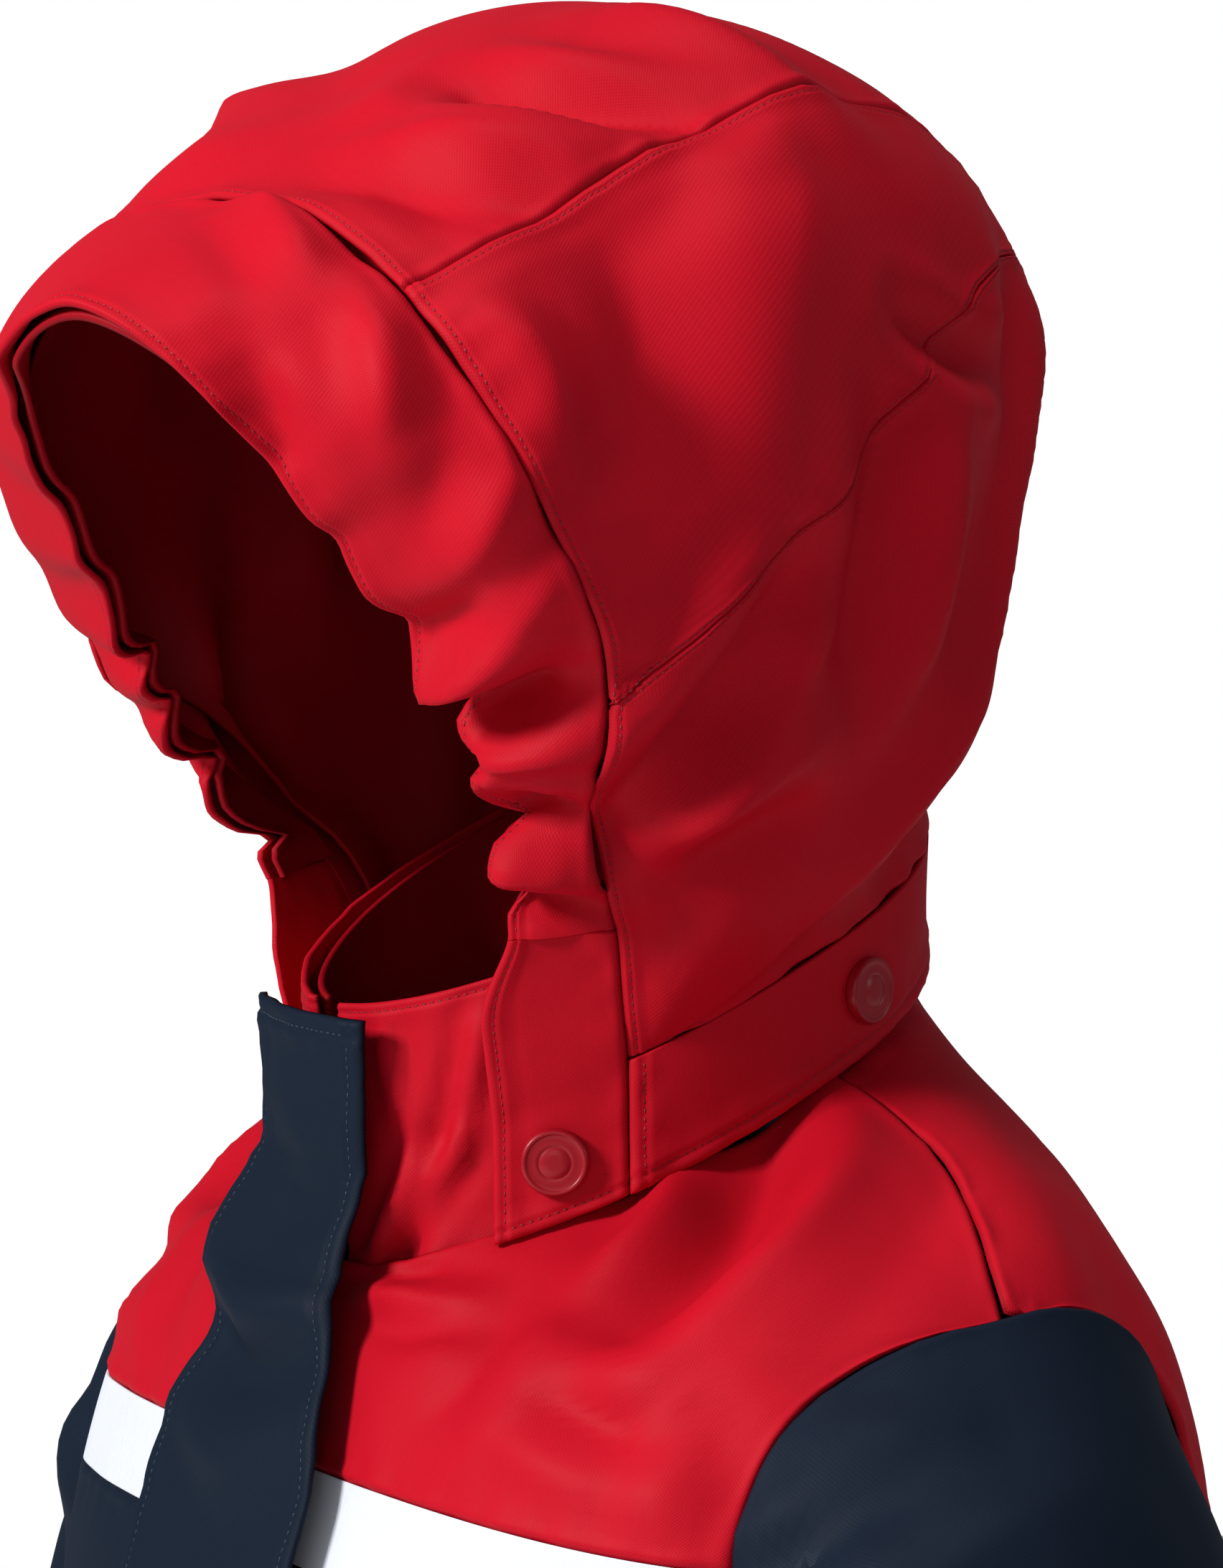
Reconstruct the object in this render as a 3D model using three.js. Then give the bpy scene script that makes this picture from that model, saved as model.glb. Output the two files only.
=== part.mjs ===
// A child's hooded foul weather jacket, zipped up and standing as worn on its hem.
// Millimetres, +Z up, the front towards -Y and the wearer's left towards +X.
// Every sewn piece is a thin closed shell bent onto one of six guide surfaces:
// torso, neck stand (collar and hood band), hood, storm flap and two sleeves.
import * as THREE from 'three';
import { mergeVertices } from 'three/addons/utils/BufferGeometryUtils.js';

// ---- Driving sizes -------------------------------------------------------
const UNDERARM_HEIGHT = 335; // hem to underarm
const ARMHOLE_DEPTH = 125; // underarm to shoulder tip
const SHOULDER_RISE = 22; // shoulder tip to the side of the neck
const CHEST_HALF_WIDTH = 157;
const CHEST_DEPTH_FRONT = 104;
const CHEST_DEPTH_BACK = 112;
const HEM_FLARE = 11; // how far the hem stands out past the chest

const NECK_HALF_WIDTH = 57;
const NECK_HALF_DEPTH = 66;
const NECK_TILT = 0.44; // rise per millimetre towards the back
const COLLAR_HEIGHT = 60;
const BAND_HEIGHT = 28;
const BAND_STANDOFF = 9; // hood band outside the collar
const BAND_LIFT = 4; // band's lower edge above the neck seam

const HOOD_HALF_WIDTH = 95;
const HOOD_HALF_DEPTH = 110;
const HOOD_HEIGHT = 216; // band to crown
const HOOD_TURN = 17; // degrees that the hood faces towards the wearer's left
const TAB_LENGTH = 69; // volume tab at the back of the hood
const TAB_WIDTH = 44;
const TAB_STANDOFF = 7; // behind the seam that it hangs from

const SLEEVE_LENGTH = 420; // shoulder tip to the cuff seam
const CUFF_LENGTH = 32;
const CUFF_TAB_LENGTH = 52;
const CUFF_TAB_WIDTH = 24;

const FLAP_WIDTH = 45; // at the collar
const FLAP_SPREAD = 26; // extra width below the chest seam
const FLAP_STANDOFF = 6; // flap in front of the fronts
const FLAP_END = 18; // flap's lower end above the hem
const BRIDGE_STEPS = [-24, -12, 12, 24]; // heights that the flap bridges hollows over
const STRIPE_HEIGHT = 20;
const STRIPE_TOP = 413; // height of the stripe's top seam at the front
const ZIP_GAP = 12; // between the two fronts
const COIL_REACH = 2; // teeth's reach from the centre line
const TAPE_START = 2.4; // zip tape's inner edge from the centre line
const PULL_LENGTH = 22;
const POCKET_WIDTH = 92;
const POCKET_FLAP = 42;
const POCKET_TOP = 198; // hem to the top of the pocket flap
const HEM_FACING = 22;
const HEM_THICKNESS = 3;
const SNAP_DIAMETER = 15;
const SNAP_RISE = 3;

const FABRIC = 1.2; // thickness of one shell layer
const SEAM = 0.6; // clearance between pieces that are sewn edge to edge
const LINING_DEPTH = 8; // lining behind the shell of the body
const HOOD_LINING_DEPTH = 5; // lining behind the shell of the hood
const ARMHOLE_GAP = 3; // sleeve head beside the armhole
const FIT = 0.4; // clearance between hard pieces

const DEG = Math.PI / 180;
const CHEST_TURN = 95; // degrees from centre front to the side seam
const ARMHOLE_POWER = 2.3; // squareness of the armhole's outline
const ARMHOLE_TURN = 30; // half the armhole's spread, degrees round the body

// ---- Finishes ------------------------------------------------------------
function finish(colour, roughness, metalness = 0) {
  return new THREE.MeshStandardMaterial({ color: colour, roughness, metalness });
}

const RED_SHELL = finish(0xb9101d, 0.62);
const NAVY_SHELL = finish(0x1b2a3a, 0.68);
const WHITE_SHELL = finish(0xf1f3fa, 0.6);
const RED_LINING = finish(0x8e0b16, 0.75);
const NAVY_LINING = finish(0x152232, 0.75);
const RED_SNAP = finish(0xa00c18, 0.3);
const BRASS = finish(0xb08d57, 0.35, 1);
const NAVY_COIL = finish(0x10161f, 0.4);
const LOOP_PILE = finish(0xa34a50, 0.95);
const NAVY_PILE = finish(0x22303f, 0.95);

// ---- Small tools ---------------------------------------------------------
const group = new THREE.Group();
const lerp = THREE.MathUtils.lerp;
const smooth = (x, low, high) => THREE.MathUtils.smoothstep(x, low, high);

function add(name, geometry, material, parent = group) {
  const mesh = new THREE.Mesh(geometry, material);
  mesh.name = name;
  parent.add(mesh);
  return mesh;
}

function catmull(points, t) {
  const last = points.length - 1;
  const i = Math.min(Math.max(Math.floor(t), 0), last - 1);
  const f = t - i;
  const [a, b, c, d] = [i - 1, i, i + 1, i + 2].map((k) => points[Math.min(Math.max(k, 0), last)]);
  const at = (p0, p1, p2, p3) => p1 + 0.5 * f * (p2 - p0
    + f * (2 * p0 - 5 * p1 + 4 * p2 - p3 + f * (3 * (p1 - p2) + p3 - p0)));
  return new THREE.Vector3(at(a.x, b.x, c.x, d.x), at(a.y, b.y, c.y, d.y), at(a.z, b.z, c.z, d.z));
}

// A guide surface: point(a, b) gives its place, and at(a, b, h) a place h outside it.
class Surface {
  constructor(point, reach, flatten = () => 1) {
    this.point = point;
    this.reach = reach; // the step that the normal is measured over, in a and b
    this.flatten = flatten; // how much of the normal's rise is kept
  }

  normal(a, b) {
    const [da, db] = this.reach;
    const along = this.point(a + da, b).sub(this.point(a - da, b));
    const up = this.point(a, b + db).sub(this.point(a, b - db));
    const normal = along.cross(up).normalize();
    normal.z *= this.flatten(a, b);
    return normal.normalize();
  }

  at(a, b, h) {
    return this.point(a, b).addScaledVector(this.normal(a, b), h);
  }
}

// A thin closed shell over part of a surface. region(s, t) maps the unit square to (a, b).
function shell(surface, region, steps, inner, outer) {
  const box = new THREE.BoxGeometry(1, 1, 1, steps[0], steps[1], 1);
  const place = box.attributes.position;
  for (let i = 0; i < place.count; i += 1) {
    const [a, b] = region(place.getX(i) + 0.5, place.getY(i) + 0.5);
    const h = place.getZ(i) > 0 ? outer : inner;
    place.setXYZ(i, ...surface.at(a, b, h).toArray());
  }
  return closed(box);
}

// The same, closed round: a runs once round the tube, b from end to end.
function tube(surface, turn, ends, steps, inner, outer) {
  const [around, along] = steps;
  const places = [];
  for (const h of [outer, inner]) {
    for (let j = 0; j <= along; j += 1) {
      for (let i = 0; i < around; i += 1) {
        const b = lerp(ends[0], ends[1], j / along);
        places.push(...surface.at((turn * i) / around, b, h).toArray());
      }
    }
  }
  const id = (layer, j, i) => (layer * (along + 1) + j) * around + (i % around);
  const faces = [];
  const quad = (a, b, c, d) => faces.push(a, b, c, a, c, d);
  for (let i = 0; i < around; i += 1) {
    for (let j = 0; j < along; j += 1) {
      quad(id(0, j, i), id(0, j, i + 1), id(0, j + 1, i + 1), id(0, j + 1, i));
      quad(id(1, j, i), id(1, j + 1, i), id(1, j + 1, i + 1), id(1, j, i + 1));
    }
    quad(id(1, 0, i), id(1, 0, i + 1), id(0, 0, i + 1), id(0, 0, i));
    quad(id(0, along, i), id(0, along, i + 1), id(1, along, i + 1), id(1, along, i));
  }
  const geometry = new THREE.BufferGeometry();
  geometry.setAttribute('position', new THREE.Float32BufferAttribute(places, 3));
  geometry.setIndex(faces);
  return closed(geometry);
}

function closed(geometry) {
  geometry.deleteAttribute('normal');
  geometry.deleteAttribute('uv');
  const merged = mergeVertices(geometry, 1e-4);
  merged.computeVertexNormals();
  return merged;
}

// A rectangle of a surface between two values each of a and b.
function patch(a0, a1, b0, b1) {
  return (s, t) => [lerp(a0, a1, s), lerp(b0, b1, t)];
}

// The same region on the other side of the middle value of a.
function mirrorAround(region, twiceMiddle) {
  return (s, t) => {
    const [a, b] = region(1 - s, t);
    return [twiceMiddle - a, b];
  };
}

// The same for a surface whose b runs from side to side, as the hood's does.
function mirrorAcross(region, twiceMiddle) {
  return (s, t) => {
    const [a, b] = region(s, 1 - t);
    return [a, twiceMiddle - b];
  };
}

// ---- Torso: a is the angle from centre front in degrees, b counts rings up from the hem ----
const SHOULDER_HEIGHT = UNDERARM_HEIGHT + ARMHOLE_DEPTH;
const NECK_HEIGHT = SHOULDER_HEIGHT + SHOULDER_RISE; // neck seam at the side of the neck
const NECK_RING = 7;
const ARMHOLE_RING = 4; // ring through the middle of the armhole

function ring(halfWidth, front, back, middle, heights, squareness) {
  return { halfWidth, front, back, middle, heights, squareness };
}

const TORSO_RINGS = [
  ring(CHEST_HALF_WIDTH + HEM_FLARE, CHEST_DEPTH_FRONT + HEM_FLARE, CHEST_DEPTH_BACK + 2, 0, [0, 0, 0], 2.4),
  ring(CHEST_HALF_WIDTH + 5, CHEST_DEPTH_FRONT + 9, CHEST_DEPTH_BACK, 0,
    [0.36, 0.36, 0.36].map((share) => share * UNDERARM_HEIGHT), 2.4),
  ring(CHEST_HALF_WIDTH + 1, CHEST_DEPTH_FRONT + 6, CHEST_DEPTH_BACK, 2,
    [0.72, 0.72, 0.72].map((share) => share * UNDERARM_HEIGHT), 2.4),
  ring(CHEST_HALF_WIDTH, CHEST_DEPTH_FRONT, CHEST_DEPTH_BACK, 6,
    [5, 0, 25].map((rise) => UNDERARM_HEIGHT + rise), 2.6),
  ring(CHEST_HALF_WIDTH - 3, CHEST_DEPTH_FRONT - 13, CHEST_DEPTH_BACK - 10, 10,
    [-90, -72, -66].map((drop) => NECK_HEIGHT + drop), 2.8),
  ring(CHEST_HALF_WIDTH - 17, CHEST_DEPTH_FRONT - 25, CHEST_DEPTH_BACK - 24, 12,
    [-52, -28, -26].map((drop) => NECK_HEIGHT + drop), 2.6),
  ring(NECK_HALF_WIDTH + 44, NECK_HALF_DEPTH + 7, NECK_HALF_DEPTH + 14, 16,
    [-38, -6, 4].map((drop) => NECK_HEIGHT + drop), 2.2),
  ring(NECK_HALF_WIDTH + 4, NECK_HALF_DEPTH + 3, NECK_HALF_DEPTH + 4, 0,
    [-27, 2, 31].map((drop) => NECK_HEIGHT + drop), 2),
];

function signedPower(value, power) {
  return Math.sign(value) * Math.abs(value) ** power;
}

function ringPoint({ halfWidth, front, back, middle, heights, squareness }, degrees) {
  const power = 2 / squareness;
  const cos = Math.cos(degrees * DEG);
  const reach = signedPower(cos, power);
  const depth = cos > 0 ? middle + front : back - middle;
  const [low, side, high] = heights;
  const z = side + ((low - high) / 2) * cos + ((low + high) / 2 - side) * cos * cos;
  const x = halfWidth * signedPower(Math.sin(degrees * DEG), power);
  return new THREE.Vector3(x, middle - depth * reach, z);
}

const torso = new Surface(
  (a, b) => catmull(TORSO_RINGS.map((row) => ringPoint(row, a)), b),
  [0.5, 0.02],
  (a, b) => smooth(b, 0, 1),
);

// The ring value where the torso reaches a height, at one angle.
function ringAtHeight(degrees, height) {
  let [low, high] = [0, NECK_RING];
  for (let i = 0; i < 40; i += 1) {
    const middle = (low + high) / 2;
    if (torso.point(degrees, middle).z < height) low = middle;
    else high = middle;
  }
  return low;
}

// The side edge of a front, at a ring value: side seam, armhole, then shoulder seam.
function sideEdge(b, towards) {
  const offset = Math.min(Math.abs(b - ARMHOLE_RING), 1);
  const bulge = ARMHOLE_TURN * (1 - offset ** ARMHOLE_POWER) ** (1 / ARMHOLE_POWER);
  const shoulder = 18 * smooth(b, ARMHOLE_RING + 1, NECK_RING);
  return CHEST_TURN + shoulder + towards * bulge;
}

const SEAM_TURN = 0.25; // degrees that leave the seam clearance at the chest
const SEAM_RING = 0.008; // ring steps that leave it between rows

// A front: from its centre edge to the side edge, between two height lines.
function frontRegion(low, high, start = ZIP_GAP / 2, endTurn = SEAM_TURN) {
  return (s, t) => {
    let degrees = CHEST_TURN * s;
    let b = lerp(low(degrees), high(degrees), t);
    for (let i = 0; i < 12; i += 1) {
      degrees = lerp(turnAt(start, b), sideEdge(b, -1) - endTurn, s ** 1.15);
      b = lerp(low(degrees), high(degrees), t);
    }
    return [degrees, b];
  };
}

// The angle where the torso is a distance from the centre plane, at a ring value.
function turnAt(distance, b) {
  let [low, high] = [0, 90];
  for (let i = 0; i < 30; i += 1) {
    const middle = (low + high) / 2;
    if (torso.point(middle, b).x < distance) low = middle;
    else high = middle;
  }
  return low;
}

// A strip of the left front between two distances from the centre plane.
function strip(near, far, low, high) {
  return (s, t) => {
    const b = lerp(low, high, t);
    return [turnAt(lerp(near, far, s), b), b];
  };
}

// A back: from one side edge round to the other.
function backRegion(low, high, endTurn = SEAM_TURN) {
  return (s, t) => {
    const side = s < 0.5 ? 1 : -1;
    const share = Math.abs(2 * s - 1);
    let degrees = lerp(180, CHEST_TURN, share);
    let b = lerp(low(degrees), high(degrees), t);
    for (let i = 0; i < 12; i += 1) {
      degrees = lerp(180, sideEdge(b, 1) + endTurn, share);
      b = lerp(low(degrees), high(degrees), t);
    }
    return [side > 0 ? degrees : 360 - degrees, b];
  };
}

const hemLine = () => 0;
const neckLine = () => NECK_RING;
const stripeTop = (degrees) => ringAtHeight(degrees, STRIPE_TOP - stripeFall(degrees));
const stripeFoot = (degrees) => ringAtHeight(degrees, STRIPE_TOP - STRIPE_HEIGHT - stripeFall(degrees));
const above = (line) => (degrees) => line(degrees) + SEAM_RING;
const below = (line) => (degrees) => line(degrees) - SEAM_RING;

function stripeFall(degrees) {
  return 8 * (1 - Math.cos(degrees * DEG)) / 2 + 4 * Math.sin(degrees * DEG) ** 2;
}

function buildBody() {
  const rows = [
    ['body', hemLine, below(stripeFoot), [9, 8], NAVY_SHELL],
    ['stripe', above(stripeFoot), below(stripeTop), [9, 2], WHITE_SHELL],
    ['yoke', above(stripeTop), neckLine, [9, 5], RED_SHELL],
  ];
  for (const [name, low, high, steps, material] of rows) {
    const front = frontRegion(low, high);
    add(`${name}_front_left`, shell(torso, front, steps, 0, FABRIC), material);
    add(`${name}_front_right`, shell(torso, mirrorAround(front, 0), steps, 0, FABRIC), material);
    add(`${name}_back`, shell(torso, backRegion(low, high), [16, steps[1]], 0, FABRIC), material);
  }
}

function buildLining() {
  const inner = -LINING_DEPTH - FABRIC;
  const front = frontRegion(() => 0.3, () => 6.6, ZIP_GAP / 2 + 6, 1.5);
  add('lining_front_left', shell(torso, front, [7, 10], inner, -LINING_DEPTH), NAVY_LINING);
  add('lining_front_right', shell(torso, mirrorAround(front, 0), [7, 10], inner, -LINING_DEPTH), NAVY_LINING);
  add('lining_back', shell(torso, backRegion(() => 0.3, () => 6.6, 1.5), [12, 10], inner, -LINING_DEPTH),
    NAVY_LINING);
  const hemTop = ringAtHeight(0, HEM_FACING);
  const edge = turnAt(ZIP_GAP / 2 + 2, 0);
  const facing = patch(edge, 360 - edge, 0, hemTop);
  add('hem_facing', shell(torso, facing, [48, 1], -1.6 - HEM_THICKNESS, -1.6), NAVY_SHELL);
}

// ---- Neck stand: a is the angle in degrees, b the height above the neck seam ----
function neckPoint(spread, degrees, height) {
  const lean = (height / COLLAR_HEIGHT) * (1 + 2 * Math.cos(degrees * DEG));
  const x = (NECK_HALF_WIDTH + spread) * Math.sin(degrees * DEG);
  const y = -(NECK_HALF_DEPTH + spread + 0.6 * lean) * Math.cos(degrees * DEG);
  return new THREE.Vector3(x, y, NECK_HEIGHT + NECK_TILT * y + height);
}

const collar = new Surface((a, b) => neckPoint(0, a, b), [0.5, 0.5], () => 0);
const band = new Surface((a, b) => neckPoint(BAND_STANDOFF, a, b), [0.5, 0.5], () => 0);
const BAND_TOP = BAND_LIFT + BAND_HEIGHT;
const FRONT_SNAP_TURN = 57.5;
const REAR_SNAP_TURN = 117;
const SNAP_HEIGHT = BAND_LIFT + BAND_HEIGHT / 2;
const TAB_FRONT_TURN = 47;
const TAB_REAR_TURN = 70;
const NECK_SEAM_TURN = 1.2;

function buildCollar() {
  const edge = Math.asin(ZIP_GAP / 2 / NECK_HALF_WIDTH) / DEG;
  const region = patch(edge, 360 - edge, 0, COLLAR_HEIGHT);
  add('collar_outer', shell(collar, region, [32, 2], 0, FABRIC), RED_SHELL);
  const inner = patch(edge + 3, 357 - edge, 2, COLLAR_HEIGHT - 2);
  add('collar_lining', shell(collar, inner, [32, 2], -3 - FABRIC, -3), RED_LINING);
}

const LOOP_HALF = 24; // half the hanger loop's width, degrees round the neck
function buildHangerLoop() {
  const hang = new Surface((a, b) => {
    const bow = 9 * Math.cos(((a - 180) / LOOP_HALF) * 90 * DEG);
    return neckPoint(-5.2 - bow, a, b);
  }, [0.5, 0.5], () => 0);
  const region = patch(180 - LOOP_HALF, 180 + LOOP_HALF, 6, 14);
  add('hanger_loop', shell(hang, region, [10, 1], -FABRIC, 0), NAVY_SHELL);
}

function buildHoodBand() {
  const start = TAB_REAR_TURN + NECK_SEAM_TURN;
  const region = patch(start, 360 - start, BAND_LIFT, BAND_TOP);
  add('hood_band', shell(band, region, [28, 2], 0, FABRIC), RED_SHELL);
}

function disc(radius, thickness, sides = 20) {
  return closed(new THREE.CylinderGeometry(radius, radius, thickness, sides));
}

// A crowned snap cap: a low dome on a straight rim.
function capShape() {
  const radius = SNAP_DIAMETER / 2;
  const profile = [[0, 0], [radius, 0], [radius, 0.55], [0.86, 0.85], [0, 1]];
  const points = profile.map(([r, h], i) => new THREE.Vector2(
    i === 3 ? r * radius : r,
    h * SNAP_RISE,
  ));
  return closed(new THREE.LatheGeometry(points, 20));
}

// Sets a round piece on a neck surface with its axis along the outward normal.
function seat(mesh, surface, degrees, height, out) {
  const normal = surface.normal(degrees, height);
  mesh.position.copy(surface.point(degrees, height)).addScaledVector(normal, out);
  mesh.quaternion.setFromUnitVectors(new THREE.Vector3(0, 1, 0), normal);
}

function buildSnaps() {
  const places = {
    front_left: FRONT_SNAP_TURN,
    front_right: 360 - FRONT_SNAP_TURN,
    rear_left: REAR_SNAP_TURN,
    rear_right: 360 - REAR_SNAP_TURN,
  };
  for (const [name, degrees] of Object.entries(places)) {
    const rise = SNAP_HEIGHT;
    seat(add(`snap_cap_${name}`, capShape(), RED_SNAP), band, degrees, rise, FABRIC + FIT);
    seat(add(`snap_socket_${name}`, disc(5.5, 1.4), BRASS), band, degrees, rise, -FIT - 0.7);
    const stud = BAND_STANDOFF - 2 * FIT - 1.4 - FABRIC - FIT - 0.8;
    seat(add(`snap_stud_${name}`, disc(4, stud), BRASS), collar, degrees, rise, FABRIC + FIT + stud / 2);
  }
}

// ---- Hood: a counts rows from the brim edge back to the neck, b steps from left to right ----
const HOOD_BASE = NECK_HEIGHT + BAND_TOP;
const ACROSS = 14; // steps from the left neck over the head to the right neck
const [BRIM_EDGE, BRIM_SEAM, NAPE] = [0, 1, 5];
const CROWN_SEAM = 5.6;
const CHEEK_SEAM = 3.0;

// Each row is half an arch, from beside the neck up to the centre line, as shares of the
// hood's half width, half depth and height. Its first point stands on the band.
const HOOD_ROWS = [
  { turn: TAB_FRONT_TURN, arch: [[0.54, -0.55, 0.08], [0.54, -0.67, 0.22], [0.51, -0.82, 0.335],
    [0.47, -1.03, 0.455], [0.38, -1.25, 0.59], [0.21, -1.38, 0.685], [0, -1.42, 0.725]] },
  { turn: TAB_REAR_TURN, arch: [[0.71, -0.31, 0.09], [0.82, -0.54, 0.22], [0.89, -0.68, 0.34],
    [0.89, -0.87, 0.5], [0.76, -1.0, 0.66], [0.42, -1.02, 0.78], [0, -1.0, 0.82]] },
  { turn: TAB_REAR_TURN + 3, arch: [[0.8, -0.14, 0.08], [0.92, -0.19, 0.22], [0.98, -0.19, 0.4],
    [1, -0.1, 0.59], [0.89, -0.02, 0.82], [0.5, 0, 0.96], [0, 0, 1]] },
  { turn: TAB_REAR_TURN + 6, arch: [[0.77, 0.04, 0.07], [0.85, 0.23, 0.21], [0.85, 0.37, 0.38],
    [0.8, 0.52, 0.57], [0.64, 0.67, 0.69], [0.36, 0.78, 0.745], [0, 0.82, 0.76]] },
  { turn: TAB_REAR_TURN + 9, arch: [[0.73, 0.04, 0.045], [0.77, 0.19, 0.14], [0.75, 0.33, 0.225],
    [0.68, 0.44, 0.315], [0.53, 0.56, 0.38], [0.29, 0.65, 0.43], [0, 0.68, 0.45]] },
];

function bandTopPoint(degrees) {
  return neckPoint(BAND_STANDOFF, degrees, BAND_TOP + 4 * SEAM);
}

function archPoints({ turn, arch }) {
  const left = [bandTopPoint(turn)];
  for (const [x, y, z] of arch) {
    left.push(new THREE.Vector3(x * HOOD_HALF_WIDTH, y * HOOD_HALF_DEPTH, HOOD_BASE + z * HOOD_HEIGHT));
  }
  const right = left.slice(0, -1).reverse().map((p) => new THREE.Vector3(-p.x, p.y, p.z));
  return [...left, ...right];
}

function napePoints() {
  const start = TAB_REAR_TURN + 12;
  return Array.from({ length: ACROSS + 1 }, (_, i) => bandTopPoint(lerp(start, 360 - start, i / ACROSS)));
}

const HOOD_ARCHES = [...HOOD_ROWS.map(archPoints), napePoints()];

// The head turns more the higher it is above the neck.
function turned(point) {
  const share = smooth(point.z, HOOD_BASE, HOOD_BASE + 0.45 * HOOD_HEIGHT);
  return point.applyAxisAngle(new THREE.Vector3(0, 0, 1), HOOD_TURN * DEG * share);
}

const hood = new Surface(
  (a, b) => turned(catmull(HOOD_ARCHES.map((row) => catmull(row, b)), a)),
  [0.02, 0.02],
);

// The seam from the cheek up round the back of the head, as a row value for each step across.
const BACK_SEAM = [[CHEEK_SEAM, 1], [3.9, 2], [4.6, 2.42], [5.2, 2.9], [7, 3.1]];

function backSeam(b) {
  const across = b > ACROSS / 2 ? ACROSS - b : b;
  if (across <= CHEEK_SEAM) return BRIM_SEAM;
  const i = BACK_SEAM.findIndex(([step]) => across <= step);
  const [[b0, a0], [b1, a1]] = [BACK_SEAM[i - 1], BACK_SEAM[i]];
  return lerp(a0, a1, (across - b0) / (b1 - b0));
}

const ROW_SEAM = 0.036; // row steps that leave the seam clearance
const STEP_SEAM = 0.03; // steps across that leave it

function buildHood() {
  const tabTop = 1; // the front tabs reach up to this step
  const brim = patch(BRIM_EDGE, BRIM_SEAM - ROW_SEAM, tabTop + STEP_SEAM, ACROSS - tabTop - STEP_SEAM);
  add('hood_brim', shell(hood, brim, [3, 28], 0, FABRIC), RED_SHELL);
  const facing = patch(BRIM_EDGE + 0.03, BRIM_SEAM - 0.06, tabTop + STEP_SEAM, ACROSS - tabTop - STEP_SEAM);
  add('hood_brim_facing', shell(hood, facing, [2, 28], -3.4, -2.2), RED_LINING);

  const crown = (s, t) => {
    const b = lerp(CROWN_SEAM + STEP_SEAM, ACROSS - CROWN_SEAM - STEP_SEAM, t);
    return [lerp(BRIM_SEAM + ROW_SEAM, backSeam(b) - ROW_SEAM, s), b];
  };
  add('hood_crown_panel', shell(hood, crown, [8, 6], 0, FABRIC), RED_SHELL);

  const side = (s, t) => {
    const b = lerp(CHEEK_SEAM + 0.12, CROWN_SEAM - STEP_SEAM, t);
    return [lerp(BRIM_SEAM + ROW_SEAM, backSeam(b) - ROW_SEAM, s), b];
  };
  add('hood_side_panel_left', shell(hood, side, [8, 7], 0, FABRIC), RED_SHELL);
  add('hood_side_panel_right', shell(hood, mirrorAcross(side, ACROSS), [8, 7], 0, FABRIC), RED_SHELL);

  const neck = (s, t) => {
    const b = lerp(0.06, ACROSS - 0.06, t);
    return [lerp(backSeam(b) + ROW_SEAM, NAPE, s), b];
  };
  add('hood_neck_panel', shell(hood, neck, [7, 28], 0, FABRIC), RED_SHELL);

  const lining = patch(BRIM_SEAM + 0.02, NAPE, 0.3, ACROSS - 0.3);
  const inner = -HOOD_LINING_DEPTH - FABRIC;
  add('hood_lining', shell(hood, lining, [12, 22], inner, -HOOD_LINING_DEPTH), RED_LINING);
}

// The tab's surface runs from the band's lower edge up into the foot of the brim.
const tabSurface = new Surface((a, b) => {
  const low = neckPoint(BAND_STANDOFF, lerp(TAB_FRONT_TURN, TAB_REAR_TURN, a), lerp(BAND_LIFT, BAND_TOP, b));
  if (b <= 1) return low;
  return hood.point(a, b - 1);
}, [0.02, 0.02]);

function buildFrontTabs() {
  const left = patch(0, 1 - 0.02, 0, 2);
  const right = new Surface((a, b) => {
    const turn = 360 - lerp(TAB_REAR_TURN, TAB_FRONT_TURN, a);
    const low = neckPoint(BAND_STANDOFF, turn, lerp(BAND_LIFT, BAND_TOP, b));
    return b <= 1 ? low : hood.point(1 - a, ACROSS + 1 - b);
  }, [0.02, 0.02]);
  add('hood_front_tab_left', shell(tabSurface, left, [4, 6], 0, FABRIC), RED_SHELL);
  add('hood_front_tab_right', shell(right, patch(0.02, 1, 0, 2), [4, 6], 0, FABRIC), RED_SHELL);
}

// The volume tab hangs from the seam at the back of the head over its patch of loop pile.
function buildVolumeTab() {
  const loop = patch(3.95, 4.35, ACROSS / 2 - 1, ACROSS / 2 + 1);
  add('hood_loop_patch', shell(hood, loop, [4, 8], FABRIC + 1.4, FABRIC + 2.8), LOOP_PILE);

  const holder = new THREE.Group();
  const root = hood.at(3.05, ACROSS / 2, FABRIC);
  holder.position.copy(root);
  holder.rotation.z = HOOD_TURN * DEG;
  group.add(holder);
  const shape = new THREE.Shape();
  const [half, corner] = [TAB_WIDTH / 2, 5];
  shape.moveTo(-half, 0);
  shape.lineTo(-half, corner - TAB_LENGTH);
  shape.absarc(corner - half, corner - TAB_LENGTH, corner, Math.PI, 1.5 * Math.PI);
  shape.absarc(half - corner, corner - TAB_LENGTH, corner, -0.5 * Math.PI, 0);
  shape.lineTo(half, 0);
  const cut = new THREE.ExtrudeGeometry(shape, { depth: 2, bevelEnabled: false, curveSegments: 4 });
  const tab = add('hood_volume_tab', closed(cut), RED_SHELL, holder);
  tab.rotation.x = Math.PI / 2;
  tab.position.set(0, TAB_STANDOFF, -6);
}

// ---- Sleeves: a is the angle round the arm in degrees from its outer side, b counts rings down ----
const SLEEVE_RINGS = 4;
const SLEEVE_DROP = SLEEVE_LENGTH / 420;

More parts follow.
